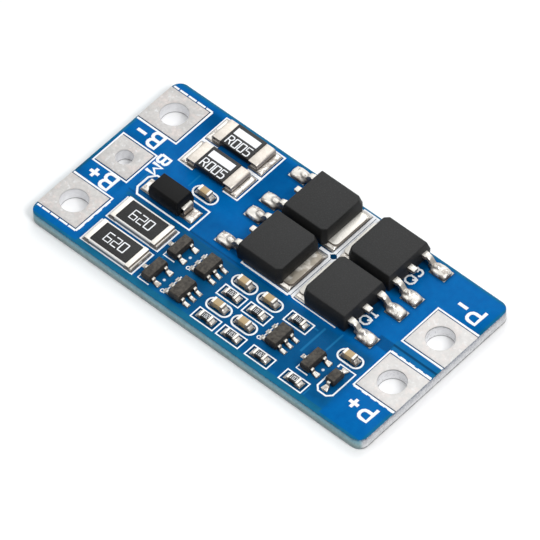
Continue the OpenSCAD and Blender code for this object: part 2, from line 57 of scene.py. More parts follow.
terminalNodes = [
    "battery_minus_pad", "battery_middle_pad", "battery_plus_pad", "output_minus_pad", "output_plus_pad"]
chipNodes = [f"capacitor_{i}" for i in range(1, 7)] + [f"chip_resistor_{i}" for i in range(1, 8)]
print("frame loaded:", len(nodes), "nodes")


# ---- small helpers ----

def clearSelection():
    if bpy.context.object and bpy.context.object.mode != "OBJECT":
        bpy.ops.object.mode_set(mode="OBJECT")
    bpy.ops.object.select_all(action="DESELECT")


def makeActive(piece):
    clearSelection()
    piece.select_set(True)
    bpy.context.view_layer.objects.active = piece


def settle(piece):
    makeActive(piece)
    bpy.ops.object.transform_apply(location=True, rotation=True, scale=True)
    return piece


def everywhere(co):
    return True


def pick(piece, test=everywhere, part="VERT"):
    # selects the vertices, or the edges whose middle passes the test, and stays in edit mode
    makeActive(piece)
    bpy.ops.object.mode_set(mode="EDIT")
    bpy.ops.mesh.select_mode(type=part)
    bpy.ops.mesh.select_all(action="DESELECT")
    bpy.ops.object.mode_set(mode="OBJECT")
    mesh = piece.data
    if part == "VERT":
        for vertex in mesh.vertices:
            vertex.select = test(vertex.co)
    else:
        for edge in mesh.edges:
            ends = [mesh.vertices[i].co for i in edge.vertices]
            edge.select = test((ends[0] + ends[1]) / 2)
    bpy.ops.object.mode_set(mode="EDIT")


def leaveEdit():
    bpy.ops.object.mode_set(mode="OBJECT")


def reshape(piece, test, value, about):
    # scales the points that pass the test about a place
    pick(piece, test)
    bpy.ops.transform.resize(value=value, center_override=about)
    leaveEdit()


def bevelWhere(piece, test, width, segments):
    pick(piece, test, "EDGE")
    bpy.ops.mesh.bevel(offset=width, segments=segments, affect="EDGES")
    leaveEdit()


def subdivide(piece, cuts):
    pick(piece)
    bpy.ops.mesh.subdivide(number_cuts=cuts)
    leaveEdit()


def cutAcross(piece, place, normal):
    pick(piece)
    bpy.ops.mesh.bisect(plane_co=place, plane_no=normal)
    leaveEdit()


def applyModifier(piece, kind, **settings):
    makeActive(piece)
    modifier = piece.modifiers.new(kind.title(), kind)
    for key, value in settings.items():
        setattr(modifier, key, value)
    bpy.ops.object.modifier_apply(modifier=modifier.name)
    return piece


def shadeSmooth(piece):
    makeActive(piece)
    bpy.ops.object.shade_smooth()
    return piece


def shadeByAngle(piece):
    makeActive(piece)
    bpy.ops.object.shade_smooth_by_angle(angle=math.radians(40))
    return piece


def bevelEdges(piece, width, segments=2, angle=30):
    return applyModifier(
        piece, "BEVEL", width=width, segments=segments,
        limit_method="ANGLE", angle_limit=math.radians(angle), harden_normals=False)


def roundEdges(piece, width, segments=2, angle=30):
    return shadeByAngle(bevelEdges(piece, width, segments, angle))


def copyOf(piece):
    copy = piece.copy()
    copy.data = piece.data.copy()
    bpy.context.collection.objects.link(copy)
    return copy


def twin(piece, place, turn=0):
    # a copy turned about the origin and set down at its place
    copy = copyOf(piece)
    copy.matrix_world = Matrix.Translation(place) @ Matrix.Rotation(turn, 4, "Z")
    return settle(copy)


def join(pieces):
    clearSelection()
    for piece in pieces:
        piece.select_set(True)
    bpy.context.view_layer.objects.active = pieces[0]
    if len(pieces) > 1:
        bpy.ops.object.join()
    return pieces[0]


def discard(*pieces):
    for piece in pieces:
        bpy.data.objects.remove(piece)


def finishPiece(piece, name, material, slot, *replaced):
    piece.name = name + "_dressed"
    piece.data.materials.clear()
    piece.data.materials.append(material)
    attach(piece, "root")
    if replaced:
        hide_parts(*replaced)


def dress(piece, node, material=None, slot=None):
    # the piece takes its node's place, with the finish of that node's slot unless another finish or slot is
    # given
    slot = slot or slotOf[node]
    finishPiece(piece, node, material or slotFinish[slot], slot, node)


def groundOf(node):
    # where the middle of a part stands on its lands
    low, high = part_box(node)
    return Vector(((low.x + high.x) / 2, (low.y + high.y) / 2, landZ))


def boxOf(node):
    # a node's rectangle from the board's left front corner, in millimetres
    low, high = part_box(node)
    return (
        (low.x - boardLow.x) / mm, (low.y - boardLow.y) / mm,
        (high.x - boardLow.x) / mm, (high.y - boardLow.y) / mm,
    )


def middleOf(node):
    x0, y0, x1, y1 = boxOf(node)
    return (x0 + x1) / 2, (y0 + y1) / 2


def grown(box, dx, dy):
    return (box[0] - dx, box[1] - dy, box[2] + dx, box[3] + dy)


def around(x, y, dx, dy):
    return (x - dx, y - dy, x + dx, y + dy)


def powerTurned(i):
    # true where a power transistor's leads point to the left
    low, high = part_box(f"power_transistor_{i}_body")
    frameLow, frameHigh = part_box(f"power_transistor_{i}_leadframe")
    return low.x - frameLow.x > frameHigh.x - high.x


# ---- materials ----

class Wire:
    # one socket, written into sums like a number
    def __init__(self, maker, socket):
        self.maker = maker
        self.socket = socket

    def __add__(self, other):
        return self.maker.maths("ADD", self, other)

    def __rsub__(self, other):
        return self.maker.maths("SUBTRACT", other, self)

    def __mul__(self, other):
        return self.maker.maths("MULTIPLY", self, other)

    def __truediv__(self, other):
        return self.maker.maths("DIVIDE", self, other)


def setStops(ramp, stops):
    while len(ramp.elements) < len(stops):
        ramp.elements.new(1)
    for element, (place, colour) in zip(ramp.elements, stops):
        element.position = place
        element.color = (*colour, 1)


class Maker:
    def __init__(self, name, gloss=0.5):
        self.material = bpy.data.materials.new(name)
        self.material.use_nodes = True
        self.tree = self.material.node_tree
        self.shader = self.tree.nodes["Principled BSDF"]
        self.shader.inputs["Specular IOR Level"].default_value = gloss

    def add(self, kind, settings=None, inputs=None, output=0):
        node = self.tree.nodes.new(kind)
        for key, value in (settings or {}).items():
            setattr(node, key, value)
        for key, value in (inputs or {}).items():
            self.feed(node.inputs[key], value)
        return Wire(self, node.outputs[output])

    def feed(self, socket, value):
        if isinstance(value, Wire):
            self.tree.links.new(value.socket, socket)
        else:
            socket.default_value = value

    def maths(self, operation, a, b, clamp=False):
        return self.add("ShaderNodeMath", {"operation": operation, "use_clamp": clamp}, {0: a, 1: b})

    def colour(self, factor, a, b):
        return self.add(
            "ShaderNodeMix", {"data_type": "RGBA"}, {"Factor": factor, 6: opaque(a), 7: opaque(b)}, 2)

    def place(self):
        # object coordinates in millimetres
        where = self.add("ShaderNodeTexCoord", output=3)
        return self.add("ShaderNodeVectorMath", {"operation": "SCALE"}, {0: where, "Scale": 1 / mm})

    def axes(self, names="XYZ"):
        split = self.add("ShaderNodeSeparateXYZ", None, {0: self.place()})
        return [Wire(self, split.socket.node.outputs[name]) for name in names]

    def upward(self):
        # 1 where the surface faces up, 0 on a wall
        return self.add(
            "ShaderNodeSeparateXYZ", None, {0: self.add("ShaderNodeTexCoord", output=1)}, "Z")

    def steep(self, low, high):
        # 0 where the surface faces up, 1 on a wall
        return 1 - self.step(self.upward(), low, high)

    def noise(self, scale, detail=2.0, roughness=0.5, distortion=0.0):
        return self.add("ShaderNodeTexNoise", {"noise_dimensions": "3D"}, {
            "Vector": self.place(), "Scale": scale, "Detail": detail,
            "Roughness": roughness, "Distortion": distortion})

    def step(self, value, low, high):
        # rises from 0 to 1 as the value goes from low to high
        return self.add(
            "ShaderNodeMapRange", {"interpolation_type": "SMOOTHSTEP", "clamp": True},
            {"Value": value, "From Min": low, "From Max": high, "To Min": 0.0, "To Max": 1.0})

    def inside(self, value, low, high, soft):
        return self.step(value, low - soft, low + soft) * (1 - self.step(value, high - soft, high + soft))

    def block(self, x, y, area, soft):
        # 1 inside a rectangle given from the board's left front corner
        x0, y0, x1, y1 = area
        across = self.inside(x, boardCorner.x + x0, boardCorner.x + x1, soft)
        return across * self.inside(y, boardCorner.y + y0, boardCorner.y + y1, soft)

    def blocks(self, x, y, rows, soft):
        # each area with its own strength
        return [self.block(x, y, area, soft) * strength for area, strength in rows]

    def most(self, wires):
        total = wires[0]
        for wire in wires[1:]:
            total = self.maths("MAXIMUM", total, wire)
        return total

    def layers(self, value, stops):
        # colours that follow one another as the value rises
        layer = self.add("ShaderNodeValToRGB", None, {0: value})
        setStops(layer.socket.node.color_ramp, stops)
        return layer

    def stain(self, colour, stained, strength, grain, low, high):
        # patches of another colour, where a noise rises past its limits
        return self.colour(self.step(self.noise(*grain), low, high) * strength, colour, stained)

    def bump(self, height, strength, distance):
        normal = self.add("ShaderNodeBump", None, {
            "Height": height, "Strength": strength, "Distance": distance * mm})
        self.feed(self.shader.inputs["Normal"], normal)

    def finish(self, colour, roughness, metallic=0.0):
        self.feed(self.shader.inputs["Base Color"], colour)
        self.feed(self.shader.inputs["Roughness"], roughness)
        self.feed(self.shader.inputs["Metallic"], metallic)
        return self.material


def opaque(colour):
    return colour if isinstance(colour, Wire) else (*colour, 1.0)


def grey(level):
    return (level, level, level)


mask = {
    "pour": ((0.0, 0.09, 0.33), (0.0, 0.155, 0.455)), "bare": ((0.004, 0.10, 0.20), (0.014, 0.18, 0.33)),
    "shade": (0.0, 0.028, 0.075), "speck": (0.20, 0.42, 0.62), "track": (0.02, 0.24, 0.50),
    "via": (0.75, 0.82, 0.88),
    # areas run from the board's left front corner, each with how strongly it shows
    # bare strips between the copper areas, and how far the copper stays from the board's edge
    "strips": [
        ((6.6, -1, 41.0, 0.8), 1.0), ((41.0, 11.1, 50, 12.6), 0.35), ((6.3, 8.35, 28.0, 8.75), 0.6),
        ((14.5, 0.8, 22.3, 8.7), 0.4), ((22.3, 0.8, 41.0, 9.0), 0.25)],
    "setback": 0.3,
    # narrow seams, painted shade inside the ink frames and between the power packages, and a ring round each
    # terminal
    "seamsAndShade": [
        ((41.0, 11.72, 50, 12.0), 0.75), ((6.0, 9.0, 28.0, 9.2), 0.4), ((27.7, 9.7, 29.3, 23.3), 0.9),
        ((39.2, 10.6, 41.2, 12.0), 0.45), ((7.0, 9.2, 14.4, 12.1), 0.4), ((26.2, 15.9, 29.6, 17.1), 0.8)],
    "chipFrameShade": (1.42, 0.65), "ring": 0.09,
    # where specks of flux lie
    "flux": [((34.5, 8.8, 40.8, 23.2), 1), ((17.5, 9.2, 22.0, 23.2), 1)],
    # painted shade: darker ground between the small parts, a painted shadow beside two packages and painted
    # shade round the outer power leads
    "dim": [((6.6, 0.9, 41.0, 9.3), 0.45), ((6.3, 9.2, 28.0, 12.3), 0.2)],
    "beside": {"back": 1, "ahead": 0.95, "end": 0.2}, "foot": {"back": 0.5, "half": (1.2, 0.95)},
    # copper tracks that show faintly, and dots of ink over the vias
    "tracks": [
        ((34.15, 4.9, 34.4, 8.8), 1), ((36.1, 6.7, 36.32, 9.4), 1), ((10.5, 13.4, 10.7, 15.3), 1),
        ((22.6, 4.55, 24.9, 4.7), 1), ((15.0, 4.5, 15.15, 8.3), 1), ((30.6, 8.0, 33.9, 8.15), 1),
        ((38.2, 0.9, 38.35, 1.9), 1), ((6.2, 10.5, 6.35, 14.6), 1)],
    "vias": [(17.3, 6.45), (17.25, 2.5), (37.7, 4.6)], "viaEdge": (0.13, 0.2),
}


def maskShades(make, x, y):
    # the ground painted darker as painted shade and shadow, and how dark
    shades = make.blocks(x, y, mask["dim"], 0.8)
    beside = mask["beside"]
    # painted shadows of bodies 1 and 3 on the board
    for i in (1, 3):
        x0, y0, x1, y1 = boxOf(f"power_transistor_{i}_body")
        area = (x1 - beside["back"], y0 + beside["end"], x1 + beside["ahead"], y1 - beside["end"])
        shades.append(make.block(x, y, area, 0.5) * 0.8)
    # painted shade round the feet of the outer power leads
    for i in (1, 2, 3, 4):
        x0, y0, x1, y1 = boxOf(f"power_transistor_{i}_leadframe")
        footX = x0 + mask["foot"]["back"] if powerTurned(i) else x1 - mask["foot"]["back"]
        for side in (-1, 1):
            area = around(footX, (y0 + y1) / 2 + side * powerPitch, *mask["foot"]["half"])
            shades.append(make.block(x, y, area, 0.3) * 0.5)
    return shades


def maskFace(make, x, y, pour, bare, tracks):
    setback, ring = mask["setback"], mask["ring"]
    strips = make.blocks(x, y, mask["strips"], 0.12)
    strips.append((1 - make.block(x, y, grown(boxOf("board"), -setback, -setback), 0.05)) * 0.9)
    seamsAndShade = make.blocks(x, y, mask["seamsAndShade"], 0.08)
    # painted shade inside each chip's ink frame
    frames = [(around(*middleOf(node), *mask["chipFrameShade"]), 0.8) for node in chipNodes]
    seamsAndShade += make.blocks(x, y, frames, 0.05)
    seamsAndShade += make.blocks(x, y, [(grown(boxOf(node), ring, ring), 0.9) for node in terminalNodes], 0.02)
    vias = []
    for viaX, viaY in mask["vias"]:
        away = make.add("ShaderNodeVectorMath", {"operation": "DISTANCE"}, {
            0: make.add("ShaderNodeCombineXYZ", None, {0: x, 1: y}),
            1: (boardCorner.x + viaX, boardCorner.y + viaY, 0)}, 1)
        vias.append(1 - make.step(away, *mask["viaEdge"]))
    flux = make.most(make.blocks(x, y, mask["flux"], 0.6)) * 0.4
    face = make.colour(make.most(strips), pour, bare)
    # the seams, with the painted shade
    face = make.colour(make.most(seamsAndShade), face, mask["shade"])
    face = make.stain(face, mask["speck"], flux, (3.6, 4.0, 0.7), 0.66, 0.76)
    # painted shade and shadow, mixed toward the shade colour
    face = make.colour(make.most(maskShades(make, x, y)), face, mask["shade"])
    face = make.colour(tracks * 0.45, face, mask["track"])
    return make.colour(make.most(vias) * 0.9, face, mask["via"])


# the cut edge, from its upper rim down: glass cloth in resin, with the copper's line above and a
# dark line below, partly the lower mask and partly painted contact shade, streaked and flecked. The
# output end's wall is a lighter copy of the same edge, painted light
cutEdge = {
    "cloth": {
        "layers": [
            (0.0, (0.01, 0.11, 0.20)), (0.08, (0.02, 0.14, 0.26)), (0.2, (0.18, 0.42, 0.55)),
            (0.45, (0.29, 0.48, 0.55)), (0.6, (0.32, 0.47, 0.48)), (0.78, (0.26, 0.35, 0.36)),
            (0.9, (0.32, 0.39, 0.41)), (1.0, (0.12, 0.14, 0.15))],
        "streak": (0.35, (0.08, 0.14, 0.15)), "fleck": (0.3, (0.40, 0.50, 0.50))},
    "bright": {
        "layers": [
            (0.0, (0.02, 0.08, 0.16)), (0.09, (0.05, 0.08, 0.14)), (0.18, (0.30, 0.31, 0.36)),
            (0.45, (0.58, 0.58, 0.60)), (0.82, (0.76, 0.76, 0.77)), (0.9, (0.10, 0.10, 0.10)),
            (1.0, (0.10, 0.10, 0.10))],
        "streak": (0.42, (0.26, 0.27, 0.30)), "fleck": (0.5, (0.84, 0.84, 0.85))},
    "endFrom": (46.6, 46.9),
}


def maskWall(make, x, z):
    streak = make.step(make.noise(1.9, 5.0, 0.75, 0.8), 0.34, 0.66)
    fleck = make.step(make.noise(4.5, 4.0, 0.75, 0.5), 0.4, 0.62)
    depth = make.maths("SUBTRACT", 1.0, z / (maskZ / mm), True)
    walls = []
    for look in (cutEdge["cloth"], cutEdge["bright"]):
        wall = make.layers(depth, look["layers"])
        for pattern, (strength, colour) in ((streak, look["streak"]), (fleck, look["fleck"])):
            wall = make.colour(pattern * strength, wall, colour)
        walls.append(wall)
    # the output end's wall takes the lighter copy: painted light
    output = make.step(x, *[boardCorner.x + place for place in cutEdge["endFrom"]])
    return make.colour(output, *walls)


def makeMask():
    make = Maker("solderMask", 0.03)
    x, y, z = make.axes()
    top = maskZ / mm
    mottle = make.noise(1.1, 4.0, 0.65)
    grain = make.noise(9.0, 3.0, 0.6)
    tracks = make.most(make.blocks(x, y, mask["tracks"], 0.06))
    pour = make.colour(mottle, *mask["pour"])
    face = maskFace(make, x, y, pour, make.colour(mottle, *mask["bare"]), tracks)
    onWall = 1 - make.step(z, top - 0.05, top - 0.03)
    colour = make.colour(onWall, face, maskWall(make, x, z))
    # the underside is plain
    colour = make.colour(make.step(make.upward(), -0.9, -0.8), pour, colour)
    make.bump(grain * 0.3 + mottle + tracks * 0.6, 0.05, 0.05)
    return make.finish(colour, grain * 0.12 + 0.26)


def makeInk():
    make = Maker("whiteInk", 0.2)
    colour = make.colour(make.noise(14.0, 3.0, 0.6), (0.87, 0.90, 0.94), (0.97, 0.98, 0.99))
    return make.finish(colour, 0.6)


def makeTin():
    # levelled tin: satin, faintly pink in patches, with pits. Inside each hole a dark band just under
    # the rim is painted shade, and the bore walls are painted paler than the face, painted light
    make = Maker("terminalTin")
    x, z = make.axes("XZ")
    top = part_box("output_plus_pad")[1].z / mm
    blotch = make.noise(0.85, 4.0, 0.6, 0.6)
    fine = make.step(make.noise(2.6, 3.0, 0.6, 0.3), 0.35, 0.65)
    # the output end is brighter, with dirtier holes
    output = make.step(x, -3.0, 3.0)
    colour = make.colour(blotch, (0.50, 0.475, 0.455), (0.73, 0.715, 0.695))
    colour = make.stain(colour, (0.74, 0.64, 0.60), 0.5, (0.9, 3.0, 0.6, 0.3), 0.48, 0.62)
    colour = make.colour(fine * 0.45, colour, (0.47, 0.46, 0.45))
    colour = make.stain(colour, (0.82, 0.83, 0.84), 0.5, (1.9, 3.0, 0.6), 0.56, 0.7)
    colour = make.stain(colour, (0.34, 0.32, 0.30), 0.45, (3.1, 4.0, 0.7), 0.62, 0.74)
    colour = make.colour(output * 0.35, colour, (0.86, 0.84, 0.82))
    # the bore walls painted paler than the face: painted light
    hole = make.colour(make.noise(2.6, 4.0, 0.7, 0.6), (0.70, 0.70, 0.72), (0.97, 0.97, 0.98))
    hole = make.stain(hole, grey(0.25), output * 0.6, (4.0, 3.0, 0.7), 0.55, 0.7)
    # painted shade just under each hole's rim, stronger at the output end
    lip = make.inside(z, top - 0.2, top - 0.06, 0.04) * (output * 0.4 + 0.3)
    hole = make.colour(lip, hole, grey(0.12))
    hole = make.colour(make.inside(z, 0.0, 0.12, 0.04) * 0.8, hole, grey(0.08))
    inHole = (1 - make.step(z, top - 0.06, top - 0.03)) * make.step(make.upward(), -0.9, -0.8)
    make.bump(blotch + fine * 0.2, 0.3, 0.08)
    return make.finish(make.colour(inHole, colour, hole), blotch * 0.25 + 0.42, 0.2)


def makeSolder():
    # bright on its crown, with its slopes painted dark brown as painted reflection and shade, random
    # patches of brown flux, and painted contact shade at its foot on the land
    make = Maker("solder")
    [z] = make.axes("Z")
    foot = landZ / mm
    ripple = make.noise(1.5, 3.0, 0.55, 0.3)
    # painted contact shade at the foot
    footShade = 1 - make.step(z, foot + 0.02, foot + 0.09)
    colour = make.colour(ripple, (0.84, 0.79, 0.71), (0.98, 0.95, 0.90))
    # slopes painted dark brown: painted reflection and shade
    slope = make.steep(0.25, 0.9)
    colour = make.stain(colour, (0.07, 0.045, 0.03), slope * 0.9, (1.1, 3.0, 0.6, 0.4), 0.3, 0.5)
    colour = make.stain(colour, (0.17, 0.11, 0.075), 0.55, (1.5, 3.0, 0.65, 0.6), 0.53, 0.6)
    colour = make.colour(footShade * 0.6, colour, (0.06, 0.05, 0.04))
    make.bump(ripple, 0.2, 0.06)
    return make.finish(colour, ripple * 0.2 + 0.24, 0.55)


def makeLead(name, low, high, side, metallic=0.6):
    # plated copper alloy: pale, with its walls painted dark brown as painted shade
    make = Maker(name)
    x, y = make.axes("XY")
    streak = make.noise(2.2, 4.0, 0.65, 0.3)
    colour = make.colour(streak, low, high)
    # the second package's tab is painted duller and browner in patches: painted shade, for the dimmer light
    # it reflects
    x0, y0, x1, y1 = boxOf("power_transistor_2_leadframe")
    dull = make.block(x, y, (x1 - 1.6, y0, x1 + 0.1, y1), 0.05)
    colour = make.stain(colour, (0.22, 0.185, 0.135), dull * 0.85, (0.8, 2.0), 0.3, 0.55)
    # walls painted dark brown: painted shade
    colour = make.colour(make.steep(0.35, 0.95) * (streak * 0.6 + 0.55), colour, side)
    make.bump(streak, 0.15, 0.03)
    return make.finish(colour, streak * 0.2 + 0.3, metallic)


def makeLand():
    make = Maker("landTin")
    blotch = make.noise(2.2, 4.0, 0.7, 0.5)
    make.bump(blotch, 0.4, 0.06)
    return make.finish(
        make.colour(blotch, (0.12, 0.11, 0.10), (0.58, 0.56, 0.53)), blotch * 0.25 + 0.2, 0.9)


def makePlastic(name, dark, light, roughness, speck=0.3, gloss=0.4):
    make = Maker(name, gloss)
    cloud = make.noise(0.9, 4.0, 0.6)
    weave = make.noise(7.0, 3.0, 0.7)
    colour = make.colour(cloud, grey(dark), grey(light))
    colour = make.colour(make.step(weave, 0.45, 0.7) * speck, colour, grey(light * 1.9))
    # walls painted darker: painted shade
    colour = make.colour(make.steep(0.3, 0.8) * 0.55, colour, grey(dark * 0.2))
    make.bump(make.noise(26.0, 2.0, 0.6) + weave * 0.5, 0.25, 0.02)
    return make.finish(colour, cloud * 0.12 + roughness)


def makeSmallPlastic():
    # the small packages' browner plastic
    make = Maker("smallPlastic", 0.35)
    cloud = make.noise(2.4, 4.0, 0.65)
    colour = make.colour(make.step(cloud, 0.3, 0.7), (0.026, 0.022, 0.018), (0.085, 0.074, 0.060))
    # walls painted darker: painted shade
    colour = make.colour(make.steep(0.3, 0.8) * 0.6, colour, grey(0.008))
    make.bump(make.noise(24.0, 2.0, 0.6), 0.25, 0.02)
    return make.finish(colour, cloud * 0.12 + 0.5)


def makeCeramic(name, low, high, roughness, foot=0.0):
    # the lowest part of a tall block lies in shade, as high as its foot says
    make = Maker(name)
    cloud = make.noise(2.2, 4.0, 0.6)
    grain = make.noise(18.0, 2.0, 0.6)
    colour = make.colour(cloud * 0.7 + grain * 0.3, low, high)
    if foot:
        [z] = make.axes("Z")
        below = 1 - make.step(z, landZ / mm + foot * 0.4, landZ / mm + foot)
        colour = make.colour(below * 0.85, colour, (0.06, 0.08, 0.13))
    make.bump(grain, 0.2, 0.015)
    return make.finish(colour, cloud * 0.15 + roughness)


inkFinish = makeInk()
strapFinish = makeLead("strapMetal", (0.52, 0.45, 0.37), (0.96, 0.91, 0.84), (0.22, 0.19, 0.17), 0.4)
smallFinish = makeSmallPlastic()
slotFinish = {
    "solder_mask": makeMask(),
    "terminal_tin": makeTin(),
    "land_tin": makeLand(),
    "lead_metal": makeLead("leadMetal", (0.78, 0.73, 0.65), (0.95, 0.93, 0.87), (0.20, 0.155, 0.12)),
    "solder": makeSolder(),
    "package_plastic": makePlastic("packagePlastic", 0.016, 0.024, 0.5, 0.45, 0.3),
    "shunt_plastic": makePlastic("shuntPlastic", 0.012, 0.02, 0.35, 0.15),
    "diode_plastic": makePlastic("diodePlastic", 0.006, 0.010, 0.45, 0.15, 0.15),
    "alumina": makeCeramic("alumina", (0.74, 0.73, 0.70), (0.88, 0.87, 0.84), 0.5, 0.42),
    "black_glaze": makePlastic("blackGlaze", 0.024, 0.034, 0.35, 0.5, 0.15),
    "capacitor_ceramic": makeCeramic("capacitorCeramic", (0.38, 0.26, 0.12), (0.56, 0.42, 0.23), 0.4),
}
print("materials made")


# ---- camera, light and floor ----

view = {
    "azimuth": 44.406, "elevation": 51.754, "roll": -2.67,
    "distance": 0.8003, "lens": 509.35, "sensor": 36, "right": 0.179, "up": -0.733,
}


def placeCamera():
    azimuth = math.radians(view["azimuth"])
    elevation = math.radians(view["elevation"])
    back = Vector((
        math.sin(azimuth) * math.cos(elevation),
        -math.cos(azimuth) * math.cos(elevation),
        math.sin(elevation),
    ))
    level = Vector((math.cos(azimuth), math.sin(azimuth), 0))
    right = Matrix.Rotation(math.radians(view["roll"]), 3, back) @ level
    up = back.cross(right)
    middle = Vector((0, 0, maskZ / 2))
    place = middle + back * view["distance"] + right * view["right"] * mm + up * view["up"] * mm
    lens = bpy.data.cameras.new("camera")
    lens.lens = view["lens"]
    lens.sensor_width = view["sensor"]
    lens.clip_start = 0.01
    lens.clip_end = 20
    camera = bpy.data.objects.new("camera", lens)
    bpy.context.collection.objects.link(camera)
    camera.matrix_world = Matrix.Translation(place) @ Matrix((right, up, back)).transposed().to_4x4()
    bpy.context.scene.camera = camera


lamps = {
    "key": {"place": (0.30, -0.02, 0.36), "size": 0.20, "power": 1.25},
    "fill": {"place": (-0.24, -0.26, 0.34), "size": 0.30, "power": 0.35},
    "rear": {"place": (-0.16, 0.30, 0.38), "size": 0.36, "power": 0.5},
}


def placeLamps():
    for name, lamp in lamps.items():
        light = bpy.data.lights.new(name, "AREA")
        light.shape = "DISK"
        light.size = lamp["size"]
        light.energy = lamp["power"]
        thing = bpy.data.objects.new(name, light)
        bpy.context.collection.objects.link(thing)
        place = Vector(lamp["place"])
        thing.location = place
        thing.rotation_euler = place.to_track_quat("Z", "Y").to_euler()


tent = {
    "towards": (-0.43, 0.44, 0.79), "strength": 0.78, "tint": (0.97, 0.985, 1),
    "levels": [(0.0, 0.10), (0.45, 0.30), (0.72, 0.95), (1.0, 1.15)],
    "under": {"From Min": -0.02, "From Max": -0.2, "To Min": 0.0, "To Max": 0.7},
}


def lightWorld():
    # a soft tent, bright behind and above the board and dim on the near side, so that metal shows contrast
    world = bpy.data.worlds.new("world")
    bpy.context.scene.world = world
    world.use_nodes = True
    tree = world.node_tree
    background = tree.nodes["Background"]
    where = tree.nodes.new("ShaderNodeTexCoord")
    facing = tree.nodes.new("ShaderNodeVectorMath")
    facing.operation = "DOT_PRODUCT"
    facing.inputs[1].default_value = tent["towards"]
    tree.links.new(where.outputs["Generated"], facing.inputs[0])
    ramp = tree.nodes.new("ShaderNodeValToRGB")
    stops = [(place, [level * part for part in tent["tint"]]) for place, level in tent["levels"]]
    setStops(ramp.color_ramp, stops)
    tree.links.new(facing.outputs["Value"], ramp.inputs[0])
    # the same light comes from below the floor's level, for the underside
    split = tree.nodes.new("ShaderNodeSeparateXYZ")
    tree.links.new(where.outputs["Generated"], split.inputs[0])
    under = tree.nodes.new("ShaderNodeMapRange")
    for key, value in tent["under"].items():
        under.inputs[key].default_value = value
    tree.links.new(split.outputs[2], under.inputs["Value"])
    brighter = tree.nodes.new("ShaderNodeMix")
    brighter.data_type = "RGBA"
    brighter.blend_type = "LIGHTEN"
    brighter.inputs["Factor"].default_value = 1
    tree.links.new(ramp.outputs[0], brighter.inputs[6])
    tree.links.new(under.outputs[0], brighter.inputs[7])
    tree.links.new(brighter.outputs[2], background.inputs["Color"])
    background.inputs["Strength"].default_value = tent["strength"]


def layFloor():
    clearSelection()
    bpy.ops.mesh.primitive_plane_add(size=6, location=(0, 0, boardLow.z))
    floor = settle(bpy.context.object)
    floor.name = "floor"
    make = Maker("floorPaper", 0.0)
    colour = make.colour(make.noise(0.02, 2.0), grey(0.96), grey(0.98))
    floor.data.materials.append(make.finish(colour, 0.9))


placeCamera()
placeLamps()
lightWorld()
layFloor()
bpy.context.scene.view_settings.view_transform = "Standard"
print("camera, lamps and floor placed")

# nodes that no piece replaces show their own shape
for name, node in nodes.items():
    node.data.materials.clear()
    node.data.materials.append(slotFinish[slotOf[name]])


# ---- shared shapes ----

origin = (0, 0, 0)
mouldFoot = 0.06    # how far a moulded body draws in at its foot


def boxPiece(low, high, unit=1):
    # a cube added at its size and place
    clearSelection()
    low = Vector(low) * unit
    high = Vector(high) * unit
    bpy.ops.mesh.primitive_cube_add(size=1, location=(low + high) / 2, scale=high - low)
    return settle(bpy.context.object)


def drawIn(piece, z, alongX, alongY):
    # draws the points at a height in towards the piece's middle, in millimetres
    xs = [v.co.x for v in piece.data.vertices]
    ys = [v.co.y for v in piece.data.vertices]
    length = max(xs) - min(xs)
    width = max(ys) - min(ys)
    reshape(
        piece, lambda co: abs(co.z - z) < tiny,
        (1 - 2 * alongX * mm / length, 1 - 2 * alongY * mm / width, 1),
        ((max(xs) + min(xs)) / 2, (max(ys) + min(ys)) / 2, z))


def mould(body, lowZ, partZ, highZ, draft):
    # a block draws in above and below its parting line
    cutAcross(body, (0, 0, partZ), (0, 0, 1))
    drawIn(body, highZ, *draft)
    drawIn(body, lowZ, mouldFoot, mouldFoot)
    return body


def roundedPath(path, radius, steps):
    points = [Vector(path[0])]
    for i in range(1, len(path) - 1):
        corner = Vector(path[i])
        back = (Vector(path[i - 1]) - corner).normalized()
        ahead = (Vector(path[i + 1]) - corner).normalized()
        half = back.angle(ahead) / 2
        centre = corner + (back + ahead).normalized() * radius / math.sin(half)
        start = corner + back * radius / math.tan(half) - centre
        end = corner + ahead * radius / math.tan(half) - centre
        for k in range(steps + 1):
            points.append(centre + start.slerp(end, k / steps).normalized() * radius)
    points.append(Vector(path[-1]))
    return points


def formedStrip(path, width, thick, radius, edge, steps=4):
    # a strip of metal pulled along a path in X and Z, in millimetres, and given its thickness
    points = [point * mm for point in roundedPath([(x, 0, z) for x, z in path], radius, steps)]
    first, second = points[0], points[1]
    clearSelection()
    bpy.ops.mesh.primitive_plane_add(size=1, location=(first + second) / 2)
    lead = bpy.context.object
    lead.scale = ((second - first).length, width * mm, 1)
    settle(lead)
    pick(lead, lambda co: abs(co.x - second.x) < tiny, "EDGE")
    for i in range(1, len(points) - 1):
        bpy.ops.mesh.extrude_region_move(TRANSFORM_OT_translate={"value": points[i + 1] - points[i]})
    leaveEdit()
    applyModifier(lead, "SOLIDIFY", thickness=thick * mm, offset=0, use_even_offset=True)
    return roundEdges(lead, edge * mm, 2, 60)


def dressPair(piece, bodyNode, node, material=None):
    # one on each side of a body
    ground = groundOf(bodyNode)
    dress(join([twin(piece, ground), twin(piece, ground, math.pi)]), node, material)
    discard(piece)


def easedCopy(node, width, test=None):
    # the node's own shape with its sharp edges eased
    piece = copyOf(nodes[node])
    pick(piece)
    bpy.ops.mesh.remove_doubles(threshold=0.0005 * mm)
    bpy.ops.mesh.dissolve_limited(angle_limit=math.radians(1))
    leaveEdit()
    if test:
        bevelWhere(piece, test, width * mm, 2)
        return shadeByAngle(piece)
    return roundEdges(piece, width * mm, 2, 40)


# ---- shared solder shapes, in millimetres ----

